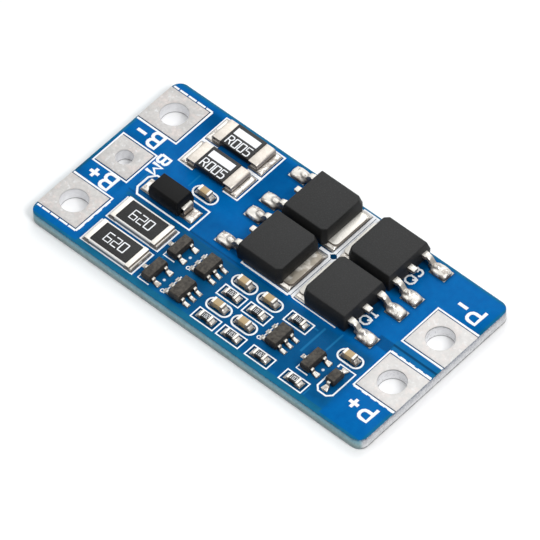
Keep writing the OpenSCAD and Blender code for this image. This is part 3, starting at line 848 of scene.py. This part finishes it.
solder = {"stripEdge": 0.06, "fanTaper": (0.92, 0.72, 1), "fanEdge": 0.12, "fanEdgeShare": 0.4}
cloudTexture = bpy.data.textures.new("solderClouds", "CLOUDS")
cloudTexture.noise_scale = 0.9 * mm
cloudTexture.noise_depth = 2


def solderDrop(length, width, height, square):
    # sits flat at the origin
    clearSelection()
    bpy.ops.mesh.primitive_uv_sphere_add(segments=20, ring_count=12, radius=0.5 * mm)
    drop = settle(bpy.context.object)
    applyModifier(drop, "CAST", cast_type="CUBOID", factor=square, radius=0, use_z=False)
    reshape(drop, lambda co: co.z < -tiny, (1, 1, 0), origin)
    wide = max(v.co.x for v in drop.data.vertices) * 2
    reshape(drop, everywhere, (length * mm / wide, width * mm / wide, height * 2), origin)
    return shadeSmooth(drop)


def solderStrip(low, high, draw):
    # a flat run of solder over a land
    strip = boxPiece(low, high)
    drawIn(strip, high[2], draw, draw)
    bevelEdges(strip, solder["stripEdge"] * mm)
    subdivide(strip, 2)
    return shadeSmooth(strip)


def solderFan(length, inner, outer, rise, lip=0.3):
    # from a heel at the origin out along X, spreading and thinning towards the end of its land
    fan = boxPiece((0, -0.5, 0), (length, 0.5, rise), mm)
    for x, wide, high in ((0, inner, 1), (length * mm, outer, lip)):
        reshape(fan, lambda co: abs(co.x - x) < tiny, (1, wide, high), (x, 0, 0))
    reshape(fan, lambda co: co.z > tiny, solder["fanTaper"], origin)
    bevelEdges(fan, min(solder["fanEdge"], rise * solder["fanEdgeShare"]) * mm)
    subdivide(fan, 1)
    return shadeSmooth(fan)


def dressSolder(drops, node, uneven):
    # made uneven after the drops are in place, so that no two are alike
    piece = join(drops)
    applyModifier(
        piece, "DISPLACE", texture=cloudTexture, texture_coords="LOCAL",
        strength=uneven * mm, mid_level=0.5)
    dress(piece, node)


# ---- board and terminals ----

boardEdge = {"corner": 1.2, "ease": 0.06, "padEase": 0.035}


def onOutline(co):
    # true along the upper and lower edges of the board's outline
    radius = boardEdge["corner"] * mm
    dx = max(abs(co.x) - (boardHigh.x - radius), 0)
    dy = max(abs(co.y) - (boardHigh.y - radius), 0)
    level = abs(co.z - maskZ) < tiny or abs(co.z) < tiny
    return level and abs(math.hypot(dx, dy) - radius) < 0.01 * mm


dress(easedCopy("board", boardEdge["ease"], onOutline), "board")
for name in terminalNodes:
    dress(easedCopy(name, boardEdge["padEase"]), name)
print("board and terminals made")


# ---- power transistors: X runs from the tab side to the leads ----

power = {
    "corner": 0.5, "draft": (0.2, 0.32), "parting": 1.15, "edge": 0.11,
    "leadWidth": 0.8, "leadThick": 0.5, "leadEmbed": 0.5, "leadEdge": 0.07,
    "run": 0.7, "drop": 0.65, "foot": 1.5, "bend": 0.35,
    "shoulder": 0.4, "shoulderEnd": 0.52, "neck": 0.81, "stub": 0.85, "stubTaper": (1, 0.85, 0.9),
    "tabWidth": 5.2, "tabThick": 0.5, "tabOut": 1.05, "tabIn": 1.5, "tabCut": 0.5,
}
powerSolder = {
    "heap": (2.25, 1.62, 0.62, 0.6), "heapAhead": 0.9,
    "climb": (1.9, 0.9, 0.56, 0.3), "climbAhead": 0.05, "climbUp": 0.2, "climbTurn": 30,
    "base": (2.2, 1.6, 0.16), "baseAhead": 0.94, "baseCorner": 0.4,
    "cell": 0.07, "smoothing": (0.8, 22), "uneven": 0.06,
    "skirtOut": 1.07, "skirtIn": 1.2, "skirtBeside": 0.42, "skirtHeight": 0.22,
    "skirtTaper": (0.93, 0.87, 1), "skirtEdge": 0.2,
}
powerLow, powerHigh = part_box("power_transistor_1_body")
powerSize = (powerHigh - powerLow) / mm
powerFootX = powerSize.x + power["run"] + power["drop"]


def powerBody():
    half = powerSize.y / 2
    top = powerSize.z * mm
    body = boxPiece((0, -half, 0), (powerSize.x, half, powerSize.z), mm)
    bevelWhere(
        body, lambda co: co.x < tiny and abs(abs(co.y) - half * mm) < tiny and co.z > tiny,
        power["corner"] * mm, 1)
    return roundEdges(mould(body, 0, power["parting"] * mm, top, power["draft"]), power["edge"] * mm, 3)


def powerTab():
    half = power["tabWidth"] / 2
    out = power["tabOut"]
    tab = boxPiece((-out, -half, 0), (power["tabIn"], half, power["tabThick"]), mm)
    bevelWhere(
        tab, lambda co: co.x < tiny - out * mm and abs(abs(co.y) - half * mm) < tiny,
        power["tabCut"] * mm, 4)
    return roundEdges(tab, power["leadEdge"] * mm)


def powerLeads():
    thick = power["leadThick"]
    z = power["parting"]
    start = powerSize.x - power["leadEmbed"]
    outer = formedStrip(
        [(start, z), (powerSize.x + power["run"], z), (powerFootX, thick / 2),
         (powerFootX + power["foot"], thick / 2)],
        power["leadWidth"], thick, power["bend"], power["leadEdge"])
    # the lead narrows beyond its shoulder
    shoulder, shoulderEnd = [(powerSize.x + power[key]) * mm for key in ("shoulder", "shoulderEnd")]
    for x in (shoulder, shoulderEnd):
        cutAcross(outer, (x, 0, 0), (1, 0, 0))
    reshape(outer, lambda co: co.x > (shoulder + shoulderEnd) / 2, (1, power["neck"], 1), origin)
    half = power["leadWidth"] / 2
    end = powerSize.x + power["stub"]
    centre = boxPiece((start, -half, z - thick / 2), (end, half, z + thick / 2), mm)
    reshape(centre, lambda co: co.x > end * mm - tiny, power["stubTaper"], (end * mm, 0, z * mm))
    roundEdges(centre, power["leadEdge"] * mm)
    pieces = [twin(outer, (0, side * powerPitch * mm, 0)) for side in (-1, 1)] + [centre]
    discard(outer)
    return pieces


def powerJoint():
    # solder heaped over a foot and drawn up its slope
    heap = solderDrop(*powerSolder["heap"])
    climb = solderDrop(*powerSolder["climb"])
    length, width, height = powerSolder["base"]
    base = boxPiece((-length / 2, -width / 2, 0), (length / 2, width / 2, height), mm)
    bevelWhere(
        base, lambda co: abs(co.z - height / 2 * mm) < tiny, powerSolder["baseCorner"] * mm, 3)
    pick(climb)
    bpy.ops.transform.rotate(
        value=math.radians(powerSolder["climbTurn"]), orient_axis="Y", center_override=origin)
    leaveEdit()
    for part, key in ((heap, "heapAhead"), (base, "baseAhead"), (climb, "climbAhead")):
        part.location.x = (powerFootX + powerSolder[key]) * mm
    climb.location.z = powerSolder["climbUp"] * mm
    joint = join([settle(heap), settle(base), settle(climb)])
    # worked at a thousand times its size, because a remesh has a least cell
    joint.scale = (1 / mm, 1 / mm, 1 / mm)
    settle(joint)
    factor, rounds = powerSolder["smoothing"]
    applyModifier(joint, "REMESH", mode="VOXEL", voxel_size=powerSolder["cell"], use_smooth_shade=True)
    applyModifier(joint, "SMOOTH", factor=factor, iterations=rounds)
    cutAcross(joint, origin, (0, 0, 1))
    reshape(joint, lambda co: co.z < 0.0001, (1, 1, 0), origin)
    joint.scale = (mm, mm, mm)
    return settle(joint)


def powerSkirt():
    # solder that runs out round the tab
    half = power["tabWidth"] / 2 + powerSolder["skirtBeside"]
    inner = powerSolder["skirtIn"]
    skirt = boxPiece((-powerSolder["skirtOut"], -half, 0), (inner, half, powerSolder["skirtHeight"]), mm)
    reshape(skirt, lambda co: co.z > tiny, powerSolder["skirtTaper"], (inner * mm, 0, 0))
    bevelEdges(skirt, powerSolder["skirtEdge"] * mm, 3)
    subdivide(skirt, 3)
    return skirt


def powerTransistors():
    body = powerBody()
    leadframe = join([powerTab()] + powerLeads())
    joint = powerJoint()
    skirt = powerSkirt()
    drops = []
    for i in (1, 2, 3, 4):
        node = f"power_transistor_{i}"
        low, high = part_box(node + "_body")
        turned = powerTurned(i)
        turn = math.pi * turned
        place = Vector((high.x if turned else low.x, (low.y + high.y) / 2, landZ))
        dress(twin(body, place, turn), node + "_body")
        dress(twin(leadframe, place, turn), node + "_leadframe")
        drops.append(twin(skirt, place, turn))
        for side in (-1, 1):
            step = Vector((0, side * powerPitch * mm, 0))
            step.rotate(Matrix.Rotation(turn, 3, "Z"))
            drops.append(twin(joint, place + step, turn))
    dressSolder(drops, "power_solder", powerSolder["uneven"])
    discard(body, leadframe, skirt, joint)


powerTransistors()
print("power transistors made")


# ---- sense shunts ----

shunt = {
    "parting": 0.5, "draft": (0.1, 0.08), "edge": 0.05,
    "strap": 0.2, "bend": 0.22, "foot": 1.1, "embed": 0.35, "strapEdge": 0.05,
}


def senseShunt(i):
    bodyNode = f"sense_shunt_{i}_body"
    strapNode = f"sense_shunt_{i}_straps"
    low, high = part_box(bodyNode)
    partZ = landZ + (high.z - landZ) * shunt["parting"]
    body = mould(boxPiece(low, high), low.z, partZ, high.z, shunt["draft"])
    dress(roundEdges(body, shunt["edge"] * mm), bodyNode)
    strapLow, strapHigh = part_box(strapNode)
    end = (high.x - low.x) / 2 / mm
    tip = (strapHigh.x - strapLow.x) / 2 / mm
    thick = shunt["strap"]
    outer = tip - thick / 2
    upper = (strapHigh.z - landZ) / mm - thick / 2
    strap = formedStrip(
        [(end - shunt["embed"], upper), (outer, upper), (outer, thick / 2), (tip - shunt["foot"], thick / 2)],
        (strapHigh.y - strapLow.y) / mm, thick, shunt["bend"], shunt["strapEdge"], 6)
    dressPair(strap, bodyNode, strapNode, strapFinish)


for i in (1, 2):
    senseShunt(i)
print("shunts made")


# ---- bleed resistors ----

bleed = {
    "proud": 0.02, "end": 0.62, "edge": 0.06,
    "glazeOver": 0.04, "glazeMargin": 0.2, "glazeSunk": 0.05, "glazeCorner": 0.12, "glazeEdge": 0.03,
}


def endCaps(node, end, proud, edge):
    # a cap wrapped over each end of a block
    low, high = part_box(node)
    more = proud * mm
    caps = []
    for x0, x1 in ((low.x - more, low.x + end * mm), (high.x - end * mm, high.x + more)):
        cap = boxPiece((x0, low.y - more, landZ), (x1, high.y + more, high.z + more))
        caps.append(roundEdges(cap, edge * mm, 3))
    return caps


def bleedResistors():
    glazeLow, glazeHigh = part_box("bleed_resistor_glaze")
    over, margin, sunk = [bleed[key] * mm for key in ("glazeOver", "glazeMargin", "glazeSunk")]
    glazes = []
    for i in (1, 2):
        capNode = f"bleed_resistor_{i}_terminals"
        low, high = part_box(capNode)
        dress(roundEdges(boxPiece(low, high), bleed["edge"] * mm), f"bleed_resistor_{i}_block")
        dress(join(endCaps(capNode, bleed["end"], bleed["proud"], bleed["edge"])), capNode)
        base = high.z - sunk
        glaze = boxPiece(
            (glazeLow.x - over, low.y + margin, base), (glazeHigh.x + over, high.y - margin, glazeHigh.z))
        bevelWhere(
            glaze, lambda co: abs(co.z - (base + glazeHigh.z) / 2) < tiny, bleed["glazeCorner"] * mm, 3)
        glazes.append(roundEdges(glaze, bleed["glazeEdge"] * mm, 2, 60))
    dress(join(glazes), "bleed_resistor_glaze")


bleedResistors()
print("bleed resistors made")


# ---- power diode ----

diode = {
    "parting": 0.52, "draft": (0.22, 0.22), "edge": 0.1,
    "leadThick": 0.2, "leadWidth": 1.45, "leadEmbed": 0.5, "leadOut": 0.35, "leadLean": 0.1,
    "leadUnder": 1.1, "bend": 0.2, "leadEdge": 0.05,
}


def powerDiode():
    low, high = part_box("power_diode_body")
    partZ = landZ + (high.z - landZ) * diode["parting"]
    body = mould(boxPiece(low, high), low.z, partZ, high.z, diode["draft"])
    dress(roundEdges(body, diode["edge"] * mm, 3), "power_diode_body")
    end = (high.x - low.x) / 2 / mm
    z = (partZ - landZ) / mm
    thick = diode["leadThick"]
    outer = end + diode["leadOut"]
    lead = formedStrip(
        [(end - diode["leadEmbed"], z), (outer, z), (outer - diode["leadLean"], thick / 2),
         (end - diode["leadUnder"], thick / 2)],
        diode["leadWidth"], thick, diode["bend"], diode["leadEdge"], 5)
    dressPair(lead, "power_diode_body", "power_diode_leads")


powerDiode()
print("power diode made")


# ---- small packages ----

package = {
    "draft": (0.1, 0.1), "edge": 0.05, "leadZ": 0.53, "leadThick": 0.13, "leadWidth": 0.4,
    "leadEmbed": 0.3, "run": 0.16, "drop": 0.12, "foot": 0.32, "bend": 0.12, "leadEdge": 0.03,
    "pitch": 0.95,
    # solder: how far it lies behind the foot and past it, its width at the heel and, by the number
    # of leads, at its end, and its height. In the far rows it is flatter and shorter
    "heel": 0.14, "toe": 0.34, "inner": 0.5, "outer": {2: 1.05, 3: 0.82, 6: 0.52}, "rise": 0.3,
    "farFan": (0.4, 0.42, 0.12), "farShort": 0.14, "uneven": 0.03,
}
# the side and the place of each lead
transistorLeads = [(-1, 0), (1, -1), (1, 1)]
controlLeads = [(-1, -1), (-1, 0), (-1, 1), (1, -1), (1, 0), (1, 1)]
diodeLeads = [(-1, 0), (1, 0)]


def smallPackage(stem, leads, turned, drops):
    bodyNode = stem + "_body"
    low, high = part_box(bodyNode)
    z = package["leadZ"]
    body = mould(boxPiece(low, high), low.z, landZ + z * mm, high.z, package["draft"])
    dress(roundEdges(body, package["edge"] * mm), bodyNode, smallFinish)
    size = (high - low) / mm
    half = (size.y if turned else size.x) / 2
    thick = package["leadThick"]
    footX = half + package["run"] + package["drop"]
    lead = formedStrip(
        [(half - package["leadEmbed"], z), (half + package["run"], z), (footX, thick / 2),
         (footX + package["foot"], thick / 2)],
        package["leadWidth"], thick, package["bend"], package["leadEdge"])
    reach = package["foot"] + package["heel"] + package["toe"]
    near = solderFan(reach, package["inner"], package["outer"][len(leads)], package["rise"])
    far = solderFan(reach - package["farShort"], *package["farFan"])
    ground = groundOf(bodyNode)
    turn = math.pi / 2 if turned else 0
    pieces = []
    for side, step in leads:
        way = turn + (math.pi if side < 0 else 0)
        place = Vector((0, step * package["pitch"] * mm, 0))
        place.rotate(Matrix.Rotation(turn, 3, "Z"))
        place += ground
        pieces.append(twin(lead, place, way))
        heel = Vector(((footX - package["heel"]) * mm, 0, 0))
        heel.rotate(Matrix.Rotation(way, 3, "Z"))
        drops.append(twin(far if side < 0 and not turned else near, place + heel, way))
    discard(lead, near, far)
    dress(join(pieces), stem + "_leads")


def smallPackages():
    drops = []
    for i in (1, 2, 3):
        smallPackage(f"small_transistor_{i}", transistorLeads, False, drops)
        smallPackage(f"control_chip_{i}", controlLeads, False, drops)
    smallPackage("small_diode", diodeLeads, True, drops)
    dressSolder(drops, "package_solder", package["uneven"])


smallPackages()
print("small packages made")


# ---- capacitors and chip resistors ----

chip = {
    "end": 0.32, "proud": 0.02, "edge": 0.07, "bodyEdge": 0.05,
    "fillet": {"reach": 0.4, "inner": 0.98, "outer": 0.84, "lip": 0.25, "under": 0.05},
    "rise": {"capacitor": 0.5, "chip_resistor": 0.34}, "uneven": 0.03,
    "slot": {"capacitor": "capacitor_ceramic", "chip_resistor": "package_plastic"},
}
# solder that runs out over the lands of the larger parts: reach, spread beside, height
endSolder = [
    ("bleed_resistor_1_terminals", 0.33, 0.03, 0.30), ("bleed_resistor_2_terminals", 0.33, 0.03, 0.30),
    ("sense_shunt_1_straps", 0.72, 0.17, 0.16), ("sense_shunt_2_straps", 0.72, 0.17, 0.16),
    ("power_diode_leads", 1.1, 0.18, 0.2),
]
endSlope = {"under": 0.12, "share": 0.45, "most": 0.16}


def endStrips():
    strips = []
    for node, reach, spread, height in endSolder:
        low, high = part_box(node)
        out, under = reach * mm, endSlope["under"] * mm
        for x0, x1 in ((low.x - out, low.x + under), (high.x - under, high.x + out)):
            strips.append(solderStrip(
                (x0, low.y - spread * mm, landZ), (x1, high.y + spread * mm, landZ + height * mm),
                min(reach * endSlope["share"], endSlope["most"])))
    return strips


def chips():
    drops = []
    fillet = chip["fillet"]
    for stem, rise in chip["rise"].items():
        fan = solderFan(fillet["reach"], fillet["inner"], fillet["outer"], rise, fillet["lip"])
        caps = []
        for node in [name for name in chipNodes if name.startswith(stem)]:
            low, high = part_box(node)
            body = boxPiece((low.x, low.y, landZ), high)
            dress(roundEdges(body, chip["bodyEdge"] * mm), node, slot=chip["slot"][stem])
            caps += endCaps(node, chip["end"], chip["proud"], chip["edge"])
            under = fillet["under"] * mm
            for x, turn in ((low.x + under, math.pi), (high.x - under, 0)):
                drops.append(twin(fan, (x, (low.y + high.y) / 2, landZ), turn))
        discard(fan)
        dress(join(caps), stem + "_end_caps")
    dressSolder(drops + endStrips(), "chip_solder", chip["uneven"])


chips()
print("capacitors and chip resistors made")


# ---- white ink: places from the board's left front corner, in millimetres ----

ink = {"width": 0.28, "terminal": 0.26, "frame": 0.23, "fine": 0.17, "step": 0.16, "height": 0.03}


def inkLine(points, width=ink["width"], closed=False, z=maskZ):
    curve = bpy.data.curves.new("ink", "CURVE")
    curve.dimensions = "3D"
    curve.bevel_depth = width / 2 * mm
    curve.bevel_resolution = 2
    curve.use_fill_caps = True
    spline = curve.splines.new("POLY")
    spline.points.add(len(points) - 1)
    for point, (x, y) in zip(spline.points, points):
        point.co = (boardLow.x + x * mm, boardLow.y + y * mm, 0, 1)
    spline.use_cyclic_u = closed
    line = bpy.data.objects.new("ink", curve)
    bpy.context.collection.objects.link(line)
    makeActive(line)
    bpy.ops.object.convert(target="MESH")
    line.scale.z = ink["height"] / width
    line.location.z = z
    return settle(line)


def arcPoints(x, y, r, start, end, steps=8):
    angles = [math.radians(start + (end - start) * i / steps) for i in range(steps + 1)]
    return [(x + r * math.cos(angle), y + r * math.sin(angle)) for angle in angles]


letters = {
    "B": [[(0, 0), (0, 1), (0.55, 1), (0.75, 0.97), (0.88, 0.88), (0.93, 0.76), (0.88, 0.63), (0.75, 0.54),
           (0.55, 0.51), (0, 0.51)],
          [(0.55, 0.51), (0.8, 0.48), (0.95, 0.38), (1, 0.25), (0.95, 0.12), (0.8, 0.03), (0.55, 0), (0, 0)]],
    "P": [[(0, 0), (0, 1), (0.6, 1), (0.82, 0.96), (0.96, 0.85), (1, 0.7), (0.96, 0.56), (0.82, 0.45),
           (0.6, 0.41), (0, 0.41)]],
    "M": [[(0, 0), (0, 1), (0.5, 0.45), (1, 1), (1, 0)]],
    "Q": [[(0.3, 0), (0.7, 0), (1, 0.25), (1, 0.75), (0.7, 1), (0.3, 1), (0, 0.75), (0, 0.25), (0.3, 0)],
          [(0.6, 0.35), (1, -0.05)]],
    "R": [[(0, 0), (0, 1), (0.7, 1), (0.95, 0.88), (0.95, 0.65), (0.7, 0.5), (0, 0.5)],
          [(0.5, 0.5), (0.98, 0)]],
    "0": [[(0, 0.05), (0, 0.95), (0.05, 1), (0.95, 1), (1, 0.95), (1, 0.05), (0.95, 0), (0.05, 0),
           (0, 0.05)]],
    "1": [[(0.15, 0.8), (0.5, 1), (0.5, 0)], [(0.15, 0), (0.85, 0)]],
    "2": [[(0, 1), (1, 1), (1, 0.5), (0, 0.5), (0, 0), (1, 0)]],
    "3": [[(0, 0.85), (0.2, 1), (0.8, 1), (1, 0.82), (0.9, 0.6), (0.4, 0.55)],
          [(0.9, 0.6), (1, 0.35), (0.85, 0.08), (0.6, 0), (0.2, 0), (0, 0.15)]],
    "5": [[(1, 1), (0, 1), (0, 0.55), (0.8, 0.55), (1, 0.42), (1, 0.12), (0.85, 0), (0, 0)]],
    "6": [[(1, 1), (0, 1), (0, 0), (1, 0), (1, 0.5), (0, 0.5)]],
}


def inkLetter(letter, corner, size, turn, width, z=maskZ):
    # corner is where the letter's lower left lies, and turn is the way that it reads
    cos = math.cos(math.radians(turn))
    sin = math.sin(math.radians(turn))
    lines = []
    for stroke in letters[letter]:
        places = [(u * size[0], v * size[1]) for u, v in stroke]
        points = [(corner[0] + a * cos - b * sin, corner[1] + a * sin + b * cos) for a, b in places]
        lines.append(inkLine(points, width, False, z))
    return lines


def placeBy(box, place):
    # a place says which side of a rectangle X is measured from, 0 or 1, and how far, then the same for Y
    sideX, dx, sideY, dy = place
    return box[2 * sideX] + dx, box[2 * sideY + 1] + dy


# lines round the terminals and parts: the nodes, their number, the width and the places
partLines = [
    ("battery_minus_pad", 1, ink["width"], False,
     [(0, 0.13, 0, -0.23), (1, 0.23, 0, -0.23), (1, 0.23, 1, 0.23)]),
    ("battery_plus_pad", 1, ink["width"], False,
     [(0, 0.13, 1, 0.23), (1, 0.23, 1, 0.23), (1, 0.23, 0, -0.23)]),
    ("battery_middle_pad", 1, ink["width"], True,
     [(0, -0.1, 0, -0.23), (1, 0.23, 0, -0.23), (1, 0.23, 1, 0.23), (0, -0.1, 1, 0.23)]),
    ("output_minus_pad", 1, ink["width"], False,
     [(1, -0.05, 0, -0.23), (0, -0.18, 0, -0.23), (0, -0.18, 1, 0.23), (1, -0.05, 1, 0.23)]),
    ("output_plus_pad", 1, ink["width"], False,
     [(1, -0.05, 0, -0.23), (0, -0.18, 0, -0.23), (0, -0.18, 1, 0.23), (1, -0.05, 1, 0.23)]),
    ("bleed_resistor_{}_block", 2, ink["width"], True,
     [(0, -0.52, 0, -0.07), (1, 0.52, 0, -0.07), (1, 0.52, 1, 0.07), (0, -0.52, 1, 0.07)]),
    ("power_diode_body", 1, ink["width"], True,
     [(0, -1.95, 1, -0.45), (0, -1.95, 0, 0.45), (0, -1.35, 0, -0.3), (1, 1.85, 0, -0.3),
      (1, 1.85, 1, 0.3), (0, -1.35, 1, 0.3)]),
    ("small_diode_body", 1, ink["frame"], False,
     [(0, -0.35, 1, 0.65), (0, -0.35, 1, 1.1), (1, 0.5, 1, 1.1), (1, 0.5, 0, -0.75), (1, 0, 0, -1.25),
      (0, 0.15, 0, -1.25), (0, -0.35, 0, -0.75), (0, -0.35, 0, 0.85)]),
    ("small_transistor_{}_body", 3, ink["fine"], False,
     [(0, -0.35, 0, 0.45), (0, -0.35, 0, -0.1), (1, -0.1, 0, -0.1)]),
    ("small_transistor_{}_body", 3, ink["fine"], False, [(0, -0.35, 1, -0.55), (0, -0.35, 1, -0.02)]),
    ("control_chip_{}_body", 3, ink["fine"], False, [(0, -0.75, 0, 0.1), (0, -0.75, 1, 0.05)]),
]
# the battery frames' sides that face the board's middle are dashed: the side, and the gaps' places
dashes = {"battery_minus_pad": (1, [1.0, 2.25, 3.5, 4.8]), "battery_plus_pad": (0, [0.85, 2.05, 3.3, 4.6])}
dashSize = {"start": 0.2, "away": 0.23, "gap": 0.15}
# short lines that step out beside the plus frames: the first one's place, the step, the run, the number
stepRows = [
    ("battery_plus_pad", (1, 0.35, 0, 0.1), (0, 1.35), (0, 0.85), 4),
    ("output_plus_pad", (0, -0.08, 0, -0.35), (1.18, 0), (0.75, 0), 5),
    ("output_plus_pad", (0, -0.08, 1, 0.35), (1.18, 0), (0.75, 0), 5),
]
# a ring beside each control chip's first lead
ring = {"place": (0, -1.05, 0, 0.3), "radius": 0.2, "line": 0.13}


def partInk():
    lines = []
    for node, count, width, closed, places in partLines:
        for i in range(1, count + 1):
            box = boxOf(node.format(i))
            lines.append(inkLine([placeBy(box, place) for place in places], width, closed))
    for node, (side, gaps) in dashes.items():
        x0, y = placeBy(boxOf(node), (0, dashSize["start"], side, dashSize["away"] * (2 * side - 1)))
        x1 = boxOf(node)[2] + dashSize["away"]
        half = dashSize["gap"] / 2
        ends = [x0] + [gap + shift for gap in gaps for shift in (-half, half)] + [x1]
        for start, end in zip(ends[::2], ends[1::2]):
            lines.append(inkLine([(start, y), (end, y)], ink["terminal"]))
    for node, place, (stepX, stepY), (runX, runY), count in stepRows:
        x, y = placeBy(boxOf(node), place)
        for k in range(count):
            start = (x + k * stepX, y + k * stepY)
            lines.append(inkLine([start, (start[0] + runX, start[1] + runY)], ink["step"]))
    for i in (1, 2, 3):
        x, y = placeBy(boxOf(f"control_chip_{i}_body"), ring["place"])
        lines.append(inkLine(arcPoints(x, y, ring["radius"], 0, 360, 12)[:-1], ring["line"], True))
    return lines


# each sign's lower left corner, its size, the way it reads and its stroke
signs = [
    ("B", (4.40, 16.68), (1.3, 1.95), 180, 0.42), ("B", (4.42, 9.35), (1.3, 2.05), 180, 0.42),
    ("P", (45.62, 21.3), (1.35, 2.0), 180, 0.42), ("P", (45.55, 4.45), (1.3, 1.95), 180, 0.42),
    ("B", (5.62, 14.75), (1.0, 1.3), -90, 0.36), ("M", (5.62, 13.35), (1.15, 1.3), -90, 0.4),
    ("Q", (37.2, 18.9), (1.0, 1.15), 90, 0.27), ("3", (37.1, 20.25), (0.85, 1.15), 90, 0.27),
    ("Q", (37.2, 11.85), (1.0, 1.15), 90, 0.27), ("1", (37.2, 13.1), (0.75, 1.15), 90, 0.27),
]
polarity = {
    "minus": [(1.84, 15.65), (43.1, 20.4)], "plus": [(1.85, 8.27), (43.0, 3.5)],
    "half": 0.615, "stroke": 0.42,
}


def signInk():
    half, stroke = polarity["half"], polarity["stroke"]
    lines = []
    for sign in signs:
        lines += inkLetter(*sign)
    for x, y in polarity["minus"] + polarity["plus"]:
        lines.append(inkLine([(x - half, y), (x + half, y)], stroke))
    for x, y in polarity["plus"]:
        lines.append(inkLine([(x, y - half), (x, y + half)], stroke))
    return lines


chipFrame = {"half": (1.535, 0.76), "radius": 0.75}
# the shunts share one frame, open between them and drawn in from each side to its tips
shuntFrame = {
    "left": [(0, 1.2, 1, 0.3), (0, -0.85, 1, 0.3), (0, -0.85, 0, -0.25), (0, 1.2, 0, -0.25)],
    "right": [(1, -1.02, 1, 0.3), (1, 0.98, 1, 0.3), (1, 0.98, 0, -0.25), (1, -1.02, 0, -0.25)],
    "middle": 0.42,
}


def framesInk():
    lines = []
    for name in chipNodes:
        x0, y0, x1, y1 = around(*middleOf(name), *chipFrame["half"])
        r = chipFrame["radius"]
        points = [(x0, y0), (x1, y0), (x1, y1), (x0, y1)]
        if name.startswith("capacitor"):
            points = (
                arcPoints(x1 - r, y0 + r, r, -90, 0) + arcPoints(x1 - r, y1 - r, r, 0, 90)
                + arcPoints(x0 + r, y1 - r, r, 90, 180) + arcPoints(x0 + r, y0 + r, r, 180, 270)
            )
        lines.append(inkLine(points, ink["frame"], True))
    rear, front = boxOf("sense_shunt_1_straps"), boxOf("sense_shunt_2_straps")
    middle = (rear[1] + front[3]) / 2
    for side in ("left", "right"):
        points = [placeBy((rear[0], front[1], rear[2], rear[3]), place) for place in shuntFrame[side]]
        lines.append(inkLine(points))
        lines.append(inkLine([(points[1][0], middle), (points[0][0], middle)], shuntFrame["middle"]))
    return lines


# the power transistors' frames meet in a double band between the facing tabs
seam = {
    "band": 0.41, "apart": 0.225, "cut": 0.35, "lowIn": 0.12, "highIn": 0.1, "under": 0.08, "over": 0.02,
    # the frames' corners leave a small diamond bare where they meet
    "cornerIn": 0.1, "cornerOut": 0.12, "tipUp": 0.14, "tipOut": 0.62, "cornerLine": 0.24,
    # lines from the band's middle, at its low end, between the frames and at its high end
    "low": [(0.3, [(-6.75, 0.55), (-6.75, 0), (-0.2, 0)]), (0.16, [(0.22, 0.1), (0.5, 0.02), (6.4, 0.02)])],
    "between": [(0.42, [(-1.9, 0), (-0.5, 0)]), (0.42, [(0.5, 0), (1.0, 0)])],
    "high": [(0.24, [(-1.8, 0), (0.42, 0)])],
}


def powerInk():
    front, rear = boxOf("power_transistor_2_body"), boxOf("power_transistor_4_body")
    middle = (boxOf("power_transistor_2_leadframe")[2] + boxOf("power_transistor_1_leadframe")[0]) / 2
    low, high = front[1] - seam["under"], rear[3] - seam["over"]
    between = (front[3] + rear[1]) / 2
    cut = seam["cut"]
    lines = []
    for side in (-1, 1):
        x = middle + side * seam["apart"]
        for y0, y1 in ((low + seam["lowIn"], between - cut), (between + cut, high - seam["highIn"])):
            lines.append(inkLine([(x, y0), (x, y1)], seam["band"]))
        for way in (-1, 1):
            tipY = between + way * seam["tipUp"]
            lines.append(inkLine([
                (x, between + way * (cut + seam["cornerIn"])),
                (middle + side * (cut + seam["cornerOut"]), tipY), (middle + side * seam["tipOut"], tipY)],
                seam["cornerLine"]))
    for y, key in ((low, "low"), (between, "between"), (high, "high")):
        for width, points in seam[key]:
            lines.append(inkLine([(middle + dx, y + dy) for dx, dy in points], width))
    return lines


# plain resistance values on the parts' tops: the first figure's lower left corner from the part's
# middle, the step from figure to figure, their size and their stroke
figures = {
    "bleed": ((-1.42, -0.62), 1.03, (0.74, 1.2), 0.165),
    "shunt": ((-1.55, -1.32), 0.84, (0.6, 1.12), 0.165),
    "chip": ((-0.38, -0.24), 0.29, (0.18, 0.48), 0.065),
    "chipValues": ("102", "101", "102", "103", "101", "102", "103"),
}
shuntBar = {"low": (-1.62, 0.12, -0.01), "high": (1.62, 1.08, 0.015), "edge": 0.01}


def inkFigures(text, node, look, z):
    (dx, dy), step, size, stroke = look
    x, y = middleOf(node)
    lines = []
    for k, figure in enumerate(text):
        lines += inkLetter(figure, (x + dx + k * step, y + dy), size, 0, stroke, z)
    return lines


def partMarks():
    lines = []
    for i in (1, 2):
        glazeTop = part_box("bleed_resistor_glaze")[1].z
        lines += inkFigures("620", f"bleed_resistor_{i}_block", figures["bleed"], glazeTop)
        node = f"sense_shunt_{i}_body"
        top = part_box(node)[1].z
        lines += inkFigures("R005", node, figures["shunt"], top)
        middle = groundOf(node)
        middle.z = top
        bar = boxPiece(middle + Vector(shuntBar["low"]) * mm, middle + Vector(shuntBar["high"]) * mm)
        lines.append(roundEdges(bar, shuntBar["edge"] * mm, 1))
    for i, value in enumerate(figures["chipValues"], 1):
        node = f"chip_resistor_{i}"
        lines += inkFigures(value, node, figures["chip"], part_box(node)[1].z)
    return lines


silkscreen = join(partInk() + signInk() + framesInk() + powerInk())
finishPiece(silkscreen, "silkscreen", inkFinish, "alumina")
finishPiece(join(partMarks()), "part_marks", inkFinish, "alumina")
print("ink drawn")
